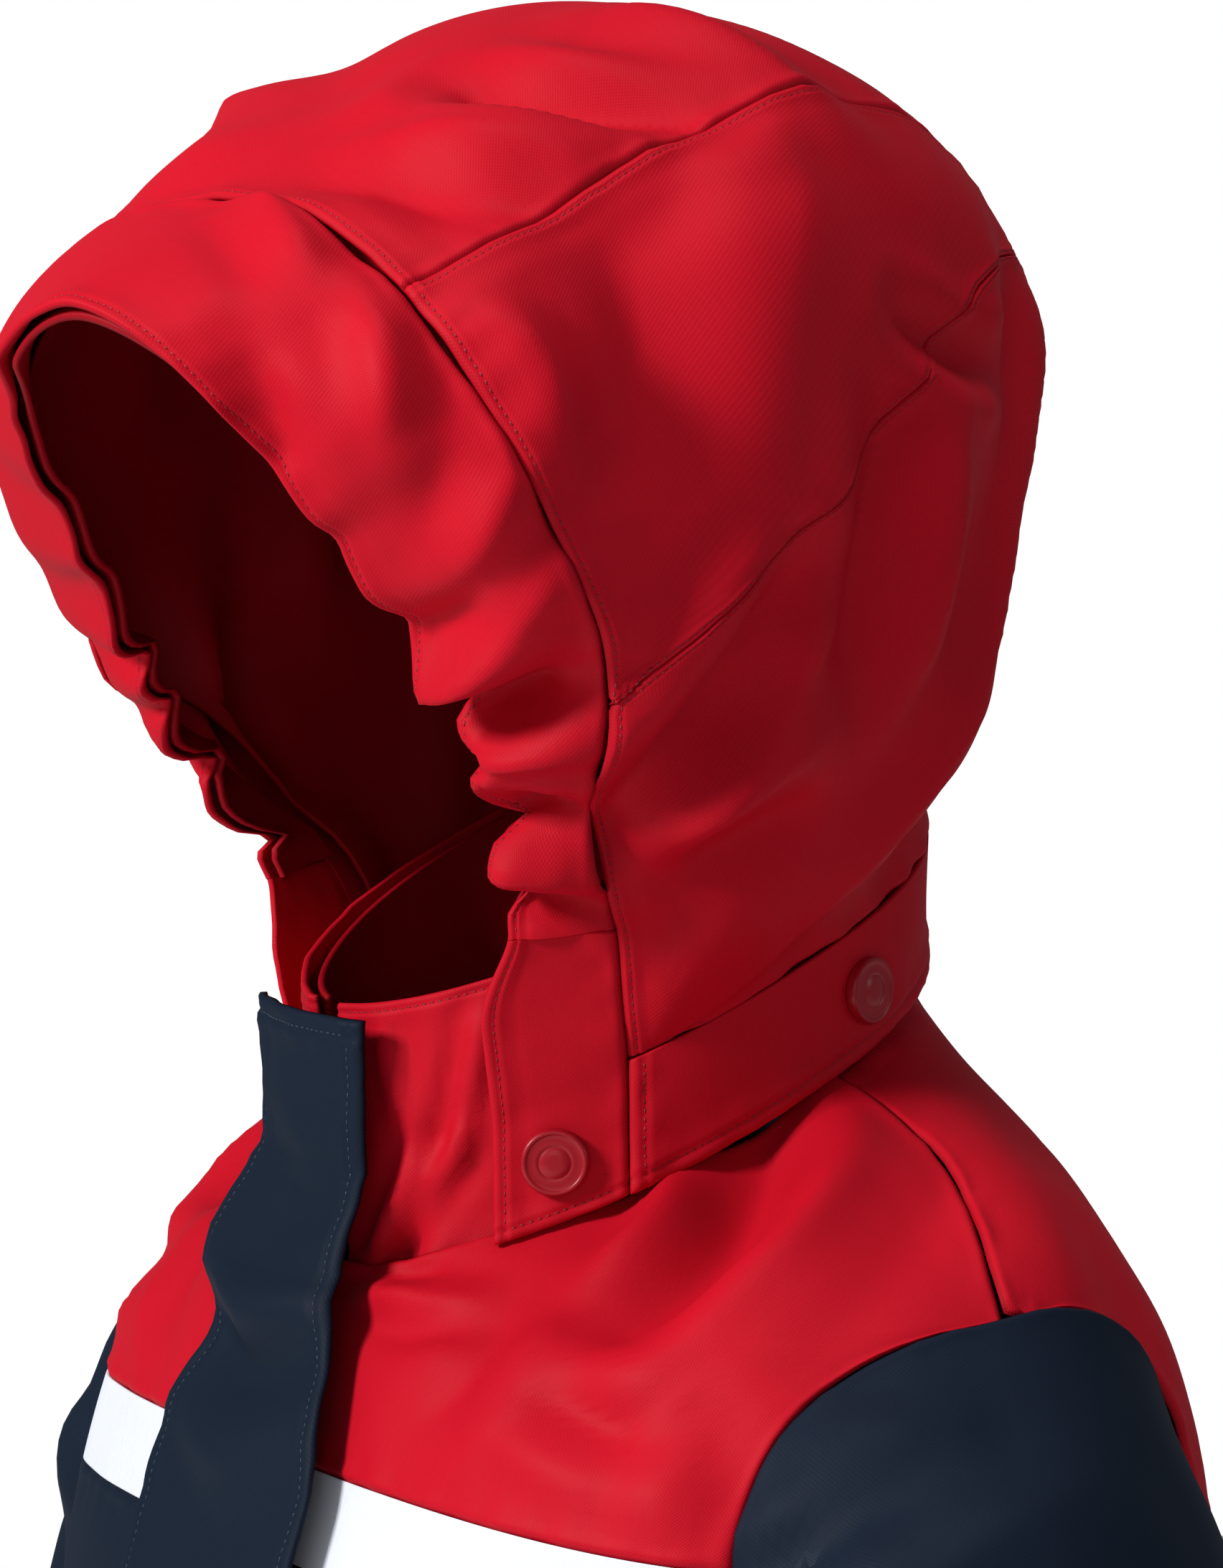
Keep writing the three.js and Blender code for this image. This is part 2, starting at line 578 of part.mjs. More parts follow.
// The armhole's edge on the left of the torso, from the shoulder tip forwards.
function armholePoint(degrees) {
  const power = 2 / ARMHOLE_POWER;
  const turn = CHEST_TURN - ARMHOLE_TURN * signedPower(Math.sin(degrees * DEG), power);
  const b = ARMHOLE_RING + signedPower(Math.cos(degrees * DEG), power);
  return torso.at(turn, b, 0);
}

function sleeveRing(centre, outward, forward) {
  return (degrees) => new THREE.Vector3(
    centre[0] + outward[0] * Math.cos(degrees * DEG),
    centre[1] - forward * Math.sin(degrees * DEG),
    centre[2] + outward[1] * Math.cos(degrees * DEG),
  );
}

const ARM_X = CHEST_HALF_WIDTH;
const down = (drop) => SHOULDER_HEIGHT - drop * SLEEVE_DROP;
const SLEEVE_ROWS = [
  (degrees) => {
    const edge = armholePoint(degrees);
    const heart = new THREE.Vector3(ARM_X - 6, 8, UNDERARM_HEIGHT + ARMHOLE_DEPTH / 2);
    const outward = new THREE.Vector3(ARMHOLE_GAP, 0, 0);
    return edge.add(outward).addScaledVector(heart.sub(edge).normalize(), ARMHOLE_GAP);
  },
  sleeveRing([ARM_X + 26, 7, down(97)], [15, 44], 54),
  sleeveRing([ARM_X + 46, 4, down(171)], [33, 30], 53),
  sleeveRing([ARM_X + 70, 0, down(260)], [45, 13], 49),
  sleeveRing([ARM_X + 106, -8, down(388)], [39, 11], 41),
];

const sleeve = new Surface(
  (a, b) => {
    const rows = SLEEVE_ROWS.map((row) => row(a));
    if (b <= SLEEVE_RINGS) return catmull(rows, b);
    const slope = rows[SLEEVE_RINGS].clone().sub(rows[SLEEVE_RINGS - 1]).setX(36).setY(-8).normalize();
    return rows[SLEEVE_RINGS].addScaledVector(slope, (b - SLEEVE_RINGS) * CUFF_LENGTH);
  },
  [0.5, 0.02],
);

function buildSleeve(side) {
  const holder = new THREE.Group();
  holder.scale.x = side === 'left' ? 1 : -1;
  group.add(holder);
  add(`sleeve_${side}`, tube(sleeve, 360, [0, SLEEVE_RINGS - 0.01], [18, 12], 0, FABRIC), NAVY_SHELL, holder);
  add(`sleeve_lining_${side}`, tube(sleeve, 360, [0.12, SLEEVE_RINGS - 0.05], [14, 8], -3.2, -2), NAVY_LINING,
    holder);
  const cuffEnds = [SLEEVE_RINGS + 0.02, SLEEVE_RINGS + 1];
  add(`cuff_${side}`, tube(sleeve, 360, cuffEnds, [18, 1], -FABRIC, FABRIC), NAVY_SHELL, holder);

  const turn = CUFF_TAB_LENGTH / (0.5 * (39 + 41) * DEG);
  const middle = SLEEVE_RINGS + 0.5;
  const half = CUFF_TAB_WIDTH / CUFF_LENGTH / 2;
  const rise = FABRIC + FIT;
  const tab = patch(8, 8 + turn, middle - half, middle + half);
  add(`cuff_tab_${side}`, shell(sleeve, tab, [6, 1], rise + 1.4, rise + 1.4 + FABRIC), NAVY_SHELL, holder);
}

// ---- Front closure: zip in the gap between the fronts, under the storm flap ----
const FLAP_TOP = NECK_HEIGHT - NECK_TILT * NECK_HALF_DEPTH + COLLAR_HEIGHT - 2;

// The centre front line of the jacket at a height, with how round it is from side to side.
function frontLine(height) {
  const neckFoot = NECK_HEIGHT - NECK_TILT * NECK_HALF_DEPTH;
  if (height >= neckFoot) return collar.point(0, height - neckFoot).y;
  return torso.point(0, ringAtHeight(0, height)).y;
}

// a is the distance to the wearer's left of centre front, b the height.
const front = new Surface((a, b) => {
  const round = lerp(400, 60, smooth(b, NECK_HEIGHT - 90, NECK_HEIGHT - 30));
  return new THREE.Vector3(a, frontLine(b) + (a * a) / (2 * round), b);
}, [0.5, 0.5], () => 0);

// The storm flap's own line, which bridges the hollow at the foot of the collar.
const bridge = new Surface((a, b) => {
  const place = front.point(a, b);
  const ahead = BRIDGE_STEPS.map((step) => front.point(a, Math.min(b + step, FLAP_TOP)).y);
  return place.setY(Math.min(place.y, (place.y + Math.min(...ahead)) / 2 - 1));
}, [0.5, 0.5], () => 0);

function buildFlap() {
  const half = FLAP_WIDTH / 2;
  const rise = FABRIC + FLAP_STANDOFF;
  const flap = (s, t) => {
    const height = lerp(FLAP_END, FLAP_TOP, t);
    const spread = FLAP_SPREAD * (1 - smooth(height, NECK_HEIGHT - 75, NECK_HEIGHT - 15));
    return [lerp(-half - 0.2 * spread, half + 0.8 * spread, s), height];
  };
  add('storm_flap', shell(bridge, flap, [4, 22], rise, rise + FABRIC), NAVY_SHELL);
  const hook = patch(-half + 3, -half + 13, FLAP_END + 10, STRIPE_TOP - STRIPE_HEIGHT - 20);
  add('flap_hook_strip', shell(bridge, hook, [1, 16], rise - 2, rise - FIT), NAVY_PILE);
  const loop = strip(half - 13, half - 3, 0.1, ARMHOLE_RING - 0.3);
  const pile = shell(torso, mirrorAround(loop, 0), [1, 16], FABRIC + FIT, FABRIC + FIT + 1.6);
  add('flap_loop_strip', pile, NAVY_PILE);
}

function buildZip() {
  const low = 4;
  const top = FLAP_TOP - 4;
  for (const [side, sign] of [['left', 1], ['right', -1]]) {
    const edges = [sign * TAPE_START, sign * (ZIP_GAP / 2 - SEAM)].sort((p, q) => p - q);
    const teeth = [sign * 0.2, sign * COIL_REACH].sort((p, q) => p - q);
    const tape = patch(...edges, low, top);
    add(`zip_tape_${side}`, shell(front, tape, [1, 20], -0.6, 0.2), NAVY_SHELL);
    add(`zip_teeth_${side}`, shell(front, patch(...teeth, low, top), [1, 20], -1.4, 0.6), NAVY_COIL);
  }
  const box = patch(-4.5, 4.5, low - 2, low + 8);
  add('zip_box', shell(front, box, [1, 1], 1, 2.6), NAVY_COIL);
}

const SLIDER_TOP = FLAP_TOP - 6;
function buildSlider() {
  const body = patch(-4, 4, SLIDER_TOP - 11, SLIDER_TOP);
  add('zip_slider', shell(front, body, [1, 1], 1, 2.8), BRASS);
  const pull = patch(-2.5, 2.5, SLIDER_TOP - 4 - PULL_LENGTH, SLIDER_TOP - 4);
  add('zip_pull', shell(front, pull, [1, 2], 3.2, 4.4), BRASS);
}

// ---- Hand pockets: the flap over each pocket's mouth ----
function pocketRegion(width, top, foot) {
  const middle = 47; // degrees from centre front
  const half = width / 2 / (CHEST_HALF_WIDTH * DEG) / 0.9;
  return (s, t) => {
    const degrees = lerp(middle - half, middle + half, s);
    return [degrees, ringAtHeight(degrees, lerp(foot, top, t))];
  };
}

function buildPockets() {
  const flap = pocketRegion(POCKET_WIDTH, POCKET_TOP, POCKET_TOP - POCKET_FLAP);
  const rise = FABRIC + FIT;
  for (const side of ['left', 'right']) {
    const place = (region) => (side === 'left' ? region : mirrorAround(region, 0));
    add(`pocket_flap_${side}`, shell(torso, place(flap), [5, 1], rise, rise + 1.6), NAVY_SHELL);
  }
}

buildBody();
buildLining();
buildCollar();
buildHangerLoop();
buildHoodBand();
buildSnaps();
buildHood();
buildFrontTabs();
buildVolumeTab();
buildSleeve('left');
buildSleeve('right');
buildFlap();
buildZip();
buildSlider();
buildPockets();

// The origin is under the middle of the whole jacket, on the ground.
group.updateMatrixWorld(true);
const bounds = new THREE.Box3().setFromObject(group, true);
const middle = bounds.getCenter(new THREE.Vector3());
group.position.set(-middle.x, -middle.y, -bounds.min.z);

export default group;
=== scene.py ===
"""Looks of a child's hooded foul weather jacket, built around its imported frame.

Each sewn panel is laid out on the pattern's guide surfaces, with its folds, gathers,
seam allowances and stitches as geometry. Guide surfaces are in millimetres, with the
middle of the neck at the origin in plan; every mesh is stored in metres.
"""

import logging
import math
from dataclasses import dataclass, field
from enum import Enum
from typing import Any, Callable, Sequence

import bpy
import numpy as np
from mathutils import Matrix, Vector

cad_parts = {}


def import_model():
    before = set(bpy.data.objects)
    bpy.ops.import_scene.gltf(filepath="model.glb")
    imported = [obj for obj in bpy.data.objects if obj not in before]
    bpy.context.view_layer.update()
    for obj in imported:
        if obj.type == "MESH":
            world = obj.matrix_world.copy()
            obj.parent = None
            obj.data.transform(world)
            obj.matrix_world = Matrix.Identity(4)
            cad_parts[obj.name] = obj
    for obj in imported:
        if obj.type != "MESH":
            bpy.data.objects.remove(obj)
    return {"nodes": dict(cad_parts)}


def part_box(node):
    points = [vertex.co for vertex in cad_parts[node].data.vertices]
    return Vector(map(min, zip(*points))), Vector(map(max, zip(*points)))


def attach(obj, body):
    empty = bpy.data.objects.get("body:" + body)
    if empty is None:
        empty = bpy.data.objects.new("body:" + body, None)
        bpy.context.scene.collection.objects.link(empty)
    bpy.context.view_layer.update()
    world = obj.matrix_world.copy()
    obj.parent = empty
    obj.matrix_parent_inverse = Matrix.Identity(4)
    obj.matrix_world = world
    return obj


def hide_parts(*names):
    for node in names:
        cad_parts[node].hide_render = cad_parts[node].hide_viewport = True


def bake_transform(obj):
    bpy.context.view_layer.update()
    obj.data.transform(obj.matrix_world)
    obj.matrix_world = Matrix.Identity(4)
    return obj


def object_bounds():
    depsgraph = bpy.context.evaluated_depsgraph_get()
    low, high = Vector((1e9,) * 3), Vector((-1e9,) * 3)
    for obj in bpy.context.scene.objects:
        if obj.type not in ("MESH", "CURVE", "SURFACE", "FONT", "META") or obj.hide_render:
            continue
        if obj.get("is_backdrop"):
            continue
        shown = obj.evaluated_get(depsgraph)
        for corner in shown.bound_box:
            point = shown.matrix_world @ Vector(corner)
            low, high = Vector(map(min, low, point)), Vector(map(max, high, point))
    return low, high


Array = np.ndarray
Region = Callable[[Array, Array], tuple[Array, Array]]
log = logging.getLogger("jacket")

MM = 0.001
FABRIC = 1.2


# ---- Sums used by every guide ---------------------------------------------------------
def lerp(low: Any, high: Any, share: Any) -> Any:
    """Value between low and high at a share."""
    return low + (high - low) * share


def smooth(value: Any, low: float, high: float) -> Any:
    """Smooth step from 0 at low to 1 at high."""
    x = np.clip((np.asarray(value, float) - low) / (high - low), 0, 1)
    return x * x * (3 - 2 * x)


def bell(value: Array, width: float) -> Array:
    """Bell curve that is 1 at zero and fades over a width."""
    return np.exp(-((value / width) ** 2))


def unit(vectors: Array) -> Array:
    """Vectors scaled to length 1."""
    return vectors / np.maximum(np.linalg.norm(vectors, axis=-1, keepdims=True), 1e-9)


def power(value: Array, exponent: float) -> Array:
    """Power that keeps the sign."""
    return np.sign(value) * np.abs(value) ** exponent


def spline(a: Array, b: Array, c: Array, d: Array, f: Array) -> Array:
    """Uniform Catmull-Rom curve between b and c at a share f."""
    return b + 0.5 * f * (c - a + f * (2 * a - 5 * b + 4 * c - d + f * (3 * (b - c) + d - a)))


def along(rows: Array, t: Array) -> Array:
    """Point on one curve per place.

    Args:
        rows: control points, (row, place, 3).
        t: row value of each place.

    Returns:
        The places, (place, 3).
    """
    last = len(rows) - 1
    i = np.clip(np.floor(t).astype(int), 0, last - 1)
    each = np.arange(rows.shape[1])
    picks = [rows[np.clip(i + k, 0, last), each] for k in (-1, 0, 1, 2)]
    return spline(*picks, (t - i)[:, None])


# ---- Guide surfaces -------------------------------------------------------------------
class Guide:
    """A surface of the pattern, by two numbers a and b."""

    reach: tuple[float, float] = (0.5, 0.02)

    def point(self, a: Array, b: Array) -> Array:
        """Places on the surface."""
        raise NotImplementedError

    def rise(self, a: Array, b: Array) -> Array:
        """Share of the normal's upward part that is kept."""
        return np.ones_like(b)

    def normal(self, a: Array, b: Array) -> Array:
        """Outward directions."""
        da, db = self.reach
        across = self.point(a + da, b) - self.point(a - da, b)
        up = self.point(a, b + db) - self.point(a, b - db)
        out = unit(np.cross(across, up))
        out[:, 2] *= self.rise(a, b)
        return unit(out)


TORSO_RINGS = (
    (168, 115, 114, 0, (0, 0, 0), 2.4),
    (162, 113, 112, 0, (120.6, 120.6, 120.6), 2.4),
    (158, 110, 112, 2, (241.2, 241.2, 241.2), 2.4),
    (157, 104, 112, 6, (340, 335, 360), 2.6),
    (154, 91, 102, 10, (392, 410, 416), 2.8),
    (140, 79, 88, 12, (430, 454, 456), 2.6),
    (101, 73, 80, 16, (444, 476, 486), 2.2),
    (61, 69, 70, 0, (455, 484, 513), 2.0),
)
NECK_RING = 7
ARMHOLE_RING = 4
SIDE_TURN = 95.0


class Torso(Guide):
    """The body of the jacket: a is degrees from centre front, b rings up from the hem."""

    def rise(self, a: Array, b: Array) -> Array:
        """Level normals along the hem."""
        return smooth(b, 0, 1)

    def point(self, a: Array, b: Array) -> Array:
        """Places on the torso."""
        rows = []
        for half, front, back, middle, (low, side, high), square in TORSO_RINGS:
            sin, cos = np.sin(np.radians(a)), np.cos(np.radians(a))
            depth = np.where(cos > 0, middle + front, back - middle)
            z = side + (low - high) / 2 * cos + ((low + high) / 2 - side) * cos * cos
            y = middle - depth * power(cos, 2 / square)
            rows.append(np.stack([half * power(sin, 2 / square), y, z], 1))
        return along(np.array(rows), b)


NECK_HEIGHT = 482.0


@dataclass
class Neck(Guide):
    """The collar's stand, or the hood band outside it: a in degrees, b above the neck seam."""

    spread: float = 0.0
    reach = (0.5, 0.5)

    def rise(self, a: Array, b: Array) -> Array:
        """Level normals."""
        return np.zeros_like(b)

    def point(self, a: Array, b: Array) -> Array:
        """Places round the neck."""
        sin, cos = np.sin(np.radians(a)), np.cos(np.radians(a))
        lean = b / 60 * (1 + 2 * cos)
        y = -(66 + self.spread + 0.6 * lean) * cos
        return np.stack([(57 + self.spread) * sin, y, NECK_HEIGHT + 0.44 * y + b], 1)


BAND = Neck(spread=9.0)
COLLAR = Neck()
TORSO = Torso()
BAND_FOOT, BAND_TOP = 4.0, 32.0
HOOD_BASE = NECK_HEIGHT + BAND_TOP
HOOD_SCALE = np.array([95.0, 110.0, 216.0])
HOOD_TURN = math.radians(17)
HOOD_ROWS = (
    (47, ((0.54, -0.55, 0.08), (0.54, -0.67, 0.22), (0.51, -0.82, 0.335), (0.47, -1.03, 0.455),
          (0.38, -1.25, 0.59), (0.21, -1.38, 0.685), (0, -1.42, 0.725))),
    (70, ((0.71, -0.31, 0.09), (0.82, -0.54, 0.22), (0.89, -0.68, 0.34), (0.89, -0.87, 0.5),
          (0.76, -1.0, 0.66), (0.42, -1.02, 0.78), (0, -1.0, 0.82))),
    (73, ((0.8, -0.14, 0.08), (0.92, -0.19, 0.22), (0.98, -0.19, 0.4), (1, -0.1, 0.59),
          (0.89, -0.02, 0.82), (0.5, 0, 0.96), (0, 0, 1))),
    (76, ((0.77, 0.04, 0.07), (0.85, 0.23, 0.21), (0.85, 0.37, 0.38), (0.8, 0.52, 0.57),
          (0.64, 0.67, 0.69), (0.36, 0.78, 0.745), (0, 0.82, 0.76))),
    (79, ((0.73, 0.04, 0.045), (0.77, 0.19, 0.14), (0.75, 0.33, 0.225), (0.68, 0.44, 0.315),
          (0.53, 0.56, 0.38), (0.29, 0.65, 0.43), (0, 0.68, 0.45))),
)
ACROSS = 14
CHEEK, CROWN, NAPE = 3.0, 5.6, 5.0
BACK_SEAM = ((3.0, 3.9, 4.6, 5.2, 7.0), (1.0, 2.0, 2.42, 2.9, 3.1))


class Hood(Guide):
    """The hood: a rows from the brim's edge back to the neck, b steps from left to right."""

    reach = (0.02, 0.02)

    def __init__(self) -> None:
        """Lays out the arches of control points."""
        arches = []
        for turn, arch in HOOD_ROWS:
            shares = np.array(arch, float) * HOOD_SCALE + (0, 0, HOOD_BASE)
            left = np.concatenate([self.foot([turn]), shares])
            arches.append(np.concatenate([left, left[-2::-1] * (-1, 1, 1)]))
        arches.append(self.foot(np.linspace(82, 278, ACROSS + 1)))
        self.arches = np.array(arches)

    @staticmethod
    def foot(turns: Sequence[float]) -> Array:
        """Places where the hood stands on its band."""
        turns = np.asarray(turns, float)
        return BAND.point(turns, np.full(len(turns), BAND_TOP + 2.4))

    def point(self, a: Array, b: Array) -> Array:
        """Places on the hood, turned with the head."""
        rows = np.array([along(np.repeat(row[:, None], len(b), 1), b) for row in self.arches])
        p = along(rows, a)
        turn = HOOD_TURN * smooth(p[:, 2], HOOD_BASE, HOOD_BASE + 97.2)
        sin, cos = np.sin(turn), np.cos(turn)
        return np.stack([p[:, 0] * cos - p[:, 1] * sin, p[:, 0] * sin + p[:, 1] * cos, p[:, 2]], 1)


HOOD = Hood()


@dataclass
class FrontTab(Guide):
    """A front tab of the hood: band height for b up to 1, then the foot of the brim."""

    side: int = 1
    reach = (0.02, 0.02)

    def point(self, a: Array, b: Array) -> Array:
        """Places on the tab."""
        if self.side < 0:
            a = 1 - a
        turn = lerp(47, 70, a)
        turn = turn if self.side > 0 else 360 - turn
        low = BAND.point(turn, lerp(BAND_FOOT, BAND_TOP, b))
        high = HOOD.point(a, b - 1 if self.side > 0 else ACROSS + 1 - b)
        join = BAND.point(turn, np.full_like(b, BAND_TOP))
        foot = HOOD.point(a, np.full_like(b, 0.0 if self.side > 0 else ACROSS))
        ease = (join - foot) * (1 - smooth(b, 1, 1.6))[:, None]
        return np.where((b <= 1)[:, None], low, high + ease)


def armhole(degrees: Array) -> Array:
    """The armhole's edge on the left of the body, from the shoulder tip forwards."""
    shape = 2 / 2.3
    turn = SIDE_TURN - 30 * power(np.sin(np.radians(degrees)), shape)
    return TORSO.point(turn, ARMHOLE_RING + power(np.cos(np.radians(degrees)), shape))


SLEEVE_RINGS = (
    ((183, 7, 363), (15, 44), 54),
    ((203, 4, 289), (33, 30), 53),
    ((227, 0, 200), (45, 13), 49),
    ((263, -8, 72), (39, 11), 41),
)
CUFF_RING = 4.0
CUFF_LENGTH = 32.0


class Sleeve(Guide):
    """The left sleeve: a in degrees round the arm from its outer side, b rings down."""

    def point(self, a: Array, b: Array) -> Array:
        """Places on the sleeve and its cuff."""
        sin, cos = np.sin(np.radians(a)), np.cos(np.radians(a))
        rows = [armhole(a)]
        for (x, y, z), (out, up), forward in SLEEVE_RINGS:
            rows.append(np.stack([x + out * cos, y - forward * sin, z + up * cos], 1))
        rows = np.array(rows)
        p = along(rows, np.minimum(b, CUFF_RING))
        slope = unit((rows[4] - rows[3]) * (0, 0, 1) + (36, -8, 0))
        return p + slope * (np.maximum(b - CUFF_RING, 0) * CUFF_LENGTH)[:, None]


SLEEVE = Sleeve()


def solve(height: Callable[[Array], Array], low: Array, high: Array) -> Array:
    """Values between low and high where a rising sum crosses zero."""
    for _ in range(36):
        middle = (low + high) / 2
        under = height(middle) < 0
        low, high = np.where(under, middle, low), np.where(under, high, middle)
    return low


DEGREES = np.arange(0.0, 181.0, 2.0)
RINGS = np.arange(-0.2, 7.21, 0.05)


class HeightLine:
    """A line round the torso at a height that may change with the angle."""

    def __init__(self, height: Callable[[Array], Array]) -> None:
        """Tabulates the line's ring value."""
        wanted = height(DEGREES)
        start, end = np.zeros_like(DEGREES), np.full_like(DEGREES, NECK_RING)
        self.rings = solve(lambda b: TORSO.point(DEGREES, b)[:, 2] - wanted, start, end)

    def __call__(self, degrees: Array) -> Array:
        """Ring value at each angle."""
        folded = np.where(degrees > 180, 360 - degrees, np.abs(degrees))
        return np.interp(folded, DEGREES, self.rings)


class UprightLine:
    """A line down the front at a distance from the centre plane."""

    def __init__(self, distance: float) -> None:
        """Tabulates the line's angle."""
        start, end = np.zeros_like(RINGS), np.full_like(RINGS, 88.0)
        self.turns = solve(lambda a: TORSO.point(a, RINGS)[:, 0] - distance, start, end)

    def __call__(self, ring: Array) -> Array:
        """Angle at each ring value."""
        return np.interp(ring, RINGS, self.turns)


def stripe_fall(degrees: Array) -> Array:
    """How far the chest stripe drops towards the back."""
    turn = np.radians(degrees)
    return 4 * (1 - np.cos(turn)) + 4 * np.sin(turn) ** 2


STRIPE_TOP = HeightLine(lambda d: 413 - stripe_fall(d))
STRIPE_FOOT = HeightLine(lambda d: 393 - stripe_fall(d))


def side_edge(b: Array, towards: int) -> Array:
    """Angle of a front's or back's side edge: side seam, armhole, then shoulder seam."""
    offset = np.minimum(np.abs(b - ARMHOLE_RING), 1)
    bulge = 30 * (1 - offset**2.3) ** (1 / 2.3)
    return SIDE_TURN + 18 * smooth(b, ARMHOLE_RING + 1, NECK_RING) + towards * bulge


Line = Callable[[Array], Array]


def level(ring: float) -> Line:
    """A line round the torso at one ring value."""
    return lambda degrees: np.full_like(degrees, ring)


class SidePath:
    """A front's or back's side edge between two lines, by the share of its length."""

    def __init__(self, low: Line, high: Line, towards: int, inset: float) -> None:
        """Tabulates the edge.

        Args:
            low: the line at its foot.
            high: the line at its head.
            towards: 1 on the back, -1 on the front.
            inset: how far inside the edge the path runs, in degrees.
        """
        self.low, self.high = low, high
        self.edge = lambda b: side_edge(b, towards) + towards * inset
        foot, head = self.end(low, 0.0), self.end(high, float(NECK_RING))
        near = np.linspace(-1, 1, 81) ** 3
        b = np.concatenate([np.linspace(foot, head, 161), ARMHOLE_RING - 1 + near, ARMHOLE_RING + 1 + near])
        self.b = np.unique(np.clip(b, foot, head))
        self.a = self.edge(self.b)
        steps = np.linalg.norm(np.diff(TORSO.point(self.a, self.b), axis=0), axis=1)
        run = np.concatenate([[0], np.cumsum(steps)])
        self.share = run / run[-1]

    def end(self, line: Line, b: float) -> float:
        """Ring value where the edge meets a line."""
        for _ in range(40):
            b = lerp(b, float(line(np.array([self.edge(b)]))[0]), 0.6)
        return b

    def __call__(self, t: Array) -> tuple[Array, Array]:
        """Angle of the edge at a share of its length, and its share between the two lines."""
        a, b = np.interp(t, self.share, self.a), np.interp(t, self.share, self.b)
        low, high = self.low(a), self.high(a)
        return a, np.clip((b - low) / (high - low), 0, 1)


def front_cut(low: Line, high: Line, start: UprightLine, inset: float = 0.0) -> Region:
    """Cut of a left front between two lines, from its centre edge to its side edge."""
    path = SidePath(low, high, -1, inset)

    def region(s: Array, t: Array) -> tuple[Array, Array]:
        side, level_share = path(t)
        q = lerp(t, level_share, s)
        a = side * s
        for _ in range(8):
            b = lerp(low(a), high(a), q)
            a = lerp(start(b), side, s**1.15)
        return a, lerp(low(a), high(a), q)

    return region


def back_cut(low: Line, high: Line, inset: float = 0.0) -> Region:
    """Cut of a back between two lines, from one side edge round to the other."""
    path = SidePath(low, high, 1, inset)

    def region(s: Array, t: Array) -> tuple[Array, Array]:
        share = np.abs(2 * s - 1)
        side, level_share = path(t)
        a = lerp(180, side, share)
        b = lerp(low(a), high(a), lerp(t, level_share, share))
        return np.where(s < 0.5, a, 360 - a), b

    return region


def patch(a0: float, a1: float, b0: float, b1: float) -> Region:
    """A rectangle in a and b."""
    return lambda s, t: (lerp(a0, a1, s), lerp(b0, b1, t))


def from_side(b: Array) -> Array:
    """Steps up from the nearer foot of the hood."""
    return np.where(b > ACROSS / 2, ACROSS - b, b)


def back_seam(b: Array) -> Array:
    """Row value of the seam from the cheek round the back of the head."""
    return np.interp(from_side(b), *BACK_SEAM)


# ---- Folds ----------------------------------------------------------------------------
@dataclass(frozen=True)
class Fold:
    """A ridge or trough in the cloth along a line of (a, b) places."""

    line: tuple[tuple[float, float], ...]
    height: float
    width: float
    sharp: float = 1.45

    def relief(self, guide: Guide, places: Array) -> Array:
        """Rise of the cloth at each place."""
        marks = np.array(self.line, float)
        t = np.linspace(0, len(marks) - 1, 9 * (len(marks) - 1) + 1)
        flat = along(np.repeat(np.c_[marks, marks[:, 0]][:, None], len(t), 1), t)
        path = guide.point(flat[:, 0], flat[:, 1])
        near = np.full(len(places), 1e9)
        share = np.zeros(len(places))
        for i in range(len(path) - 1):
            step = path[i + 1] - path[i]
            k = np.clip((places - path[i]) @ step / max(step @ step, 1e-9), 0, 1)
            gap = np.linalg.norm(places - path[i] - k[:, None] * step, axis=1)
            closer = gap < near
            near[closer] = gap[closer]
            share[closer] = (i + k[closer]) / (len(path) - 1)
        taper = np.sin(np.pi * np.clip(0.08 + 0.84 * share, 0, 1)) ** 0.8
        crest = np.exp(-((near / self.width) ** self.sharp))
        trough = 0.42 * bell(near - 2.1 * self.width, 0.9 * self.width)
        return self.height * taper * (crest - trough)


def rumple(places: Array, size: float, seed: int) -> Array:
    """Soft unevenness of cloth, about -1 to 1, with lumps of a size in millimetres."""
    draw = np.random.RandomState(seed)
    total = np.zeros(len(places))
    for _ in range(9):
        way = draw.normal(size=3)
        way /= np.linalg.norm(way)
        bend = draw.normal(size=3) / size
        phase = draw.uniform(0, 2 * np.pi)
        warp = 0.8 * np.sin(places @ bend + phase)
        total += np.sin(places @ way * (2 * np.pi / (size * draw.uniform(0.8, 1.7))) + phase + warp)
    return total / 5


# ---- Edges of a panel -----------------------------------------------------------------
class Edge(Enum):
    """How one edge of a panel is finished."""

    RAW = "hidden edge"
    SEAM = "sewn to the next panel"
    TOPSTITCHED = "sewn, with its allowance stitched down"
    HEMMED = "folded free edge with a row of stitches"
    FOLDED = "folded free edge"

    @property
    def stitched(self) -> bool:
        """Whether a row of stitches shows along the edge."""
        return self in (Edge.TOPSTITCHED, Edge.HEMMED)

    def relief(self, gap: Array, row: float) -> Array:
        """Rise of the outer face at a distance from the edge.

        Args:
            gap: distance from the edge.
            row: distance of the stitch row from the edge.

        Returns:
            The rise, in millimetres.
        """
        if self is Edge.RAW:
            return np.zeros_like(gap)
        groove = -0.45 * bell(gap - row, 0.5) if self.stitched else 0.0
        if self in (Edge.HEMMED, Edge.FOLDED):
            roll = -0.55 * (1 - np.sqrt(np.clip(1 - (1 - gap / 1.3) ** 2, 0, 1)))
            return np.where(gap < 1.3, roll, 0) + 0.55 * (1 - smooth(gap, 1.5 * row, 2.2 * row)) + groove
        dip = -0.9 * bell(gap, 0.7)
        lip = 0.5 * (1 - smooth(gap, 1.3 * row, 2.1 * row)) if self.stitched else 0.3 * bell(gap - 2, 1.5)
        return dip + lip + groove


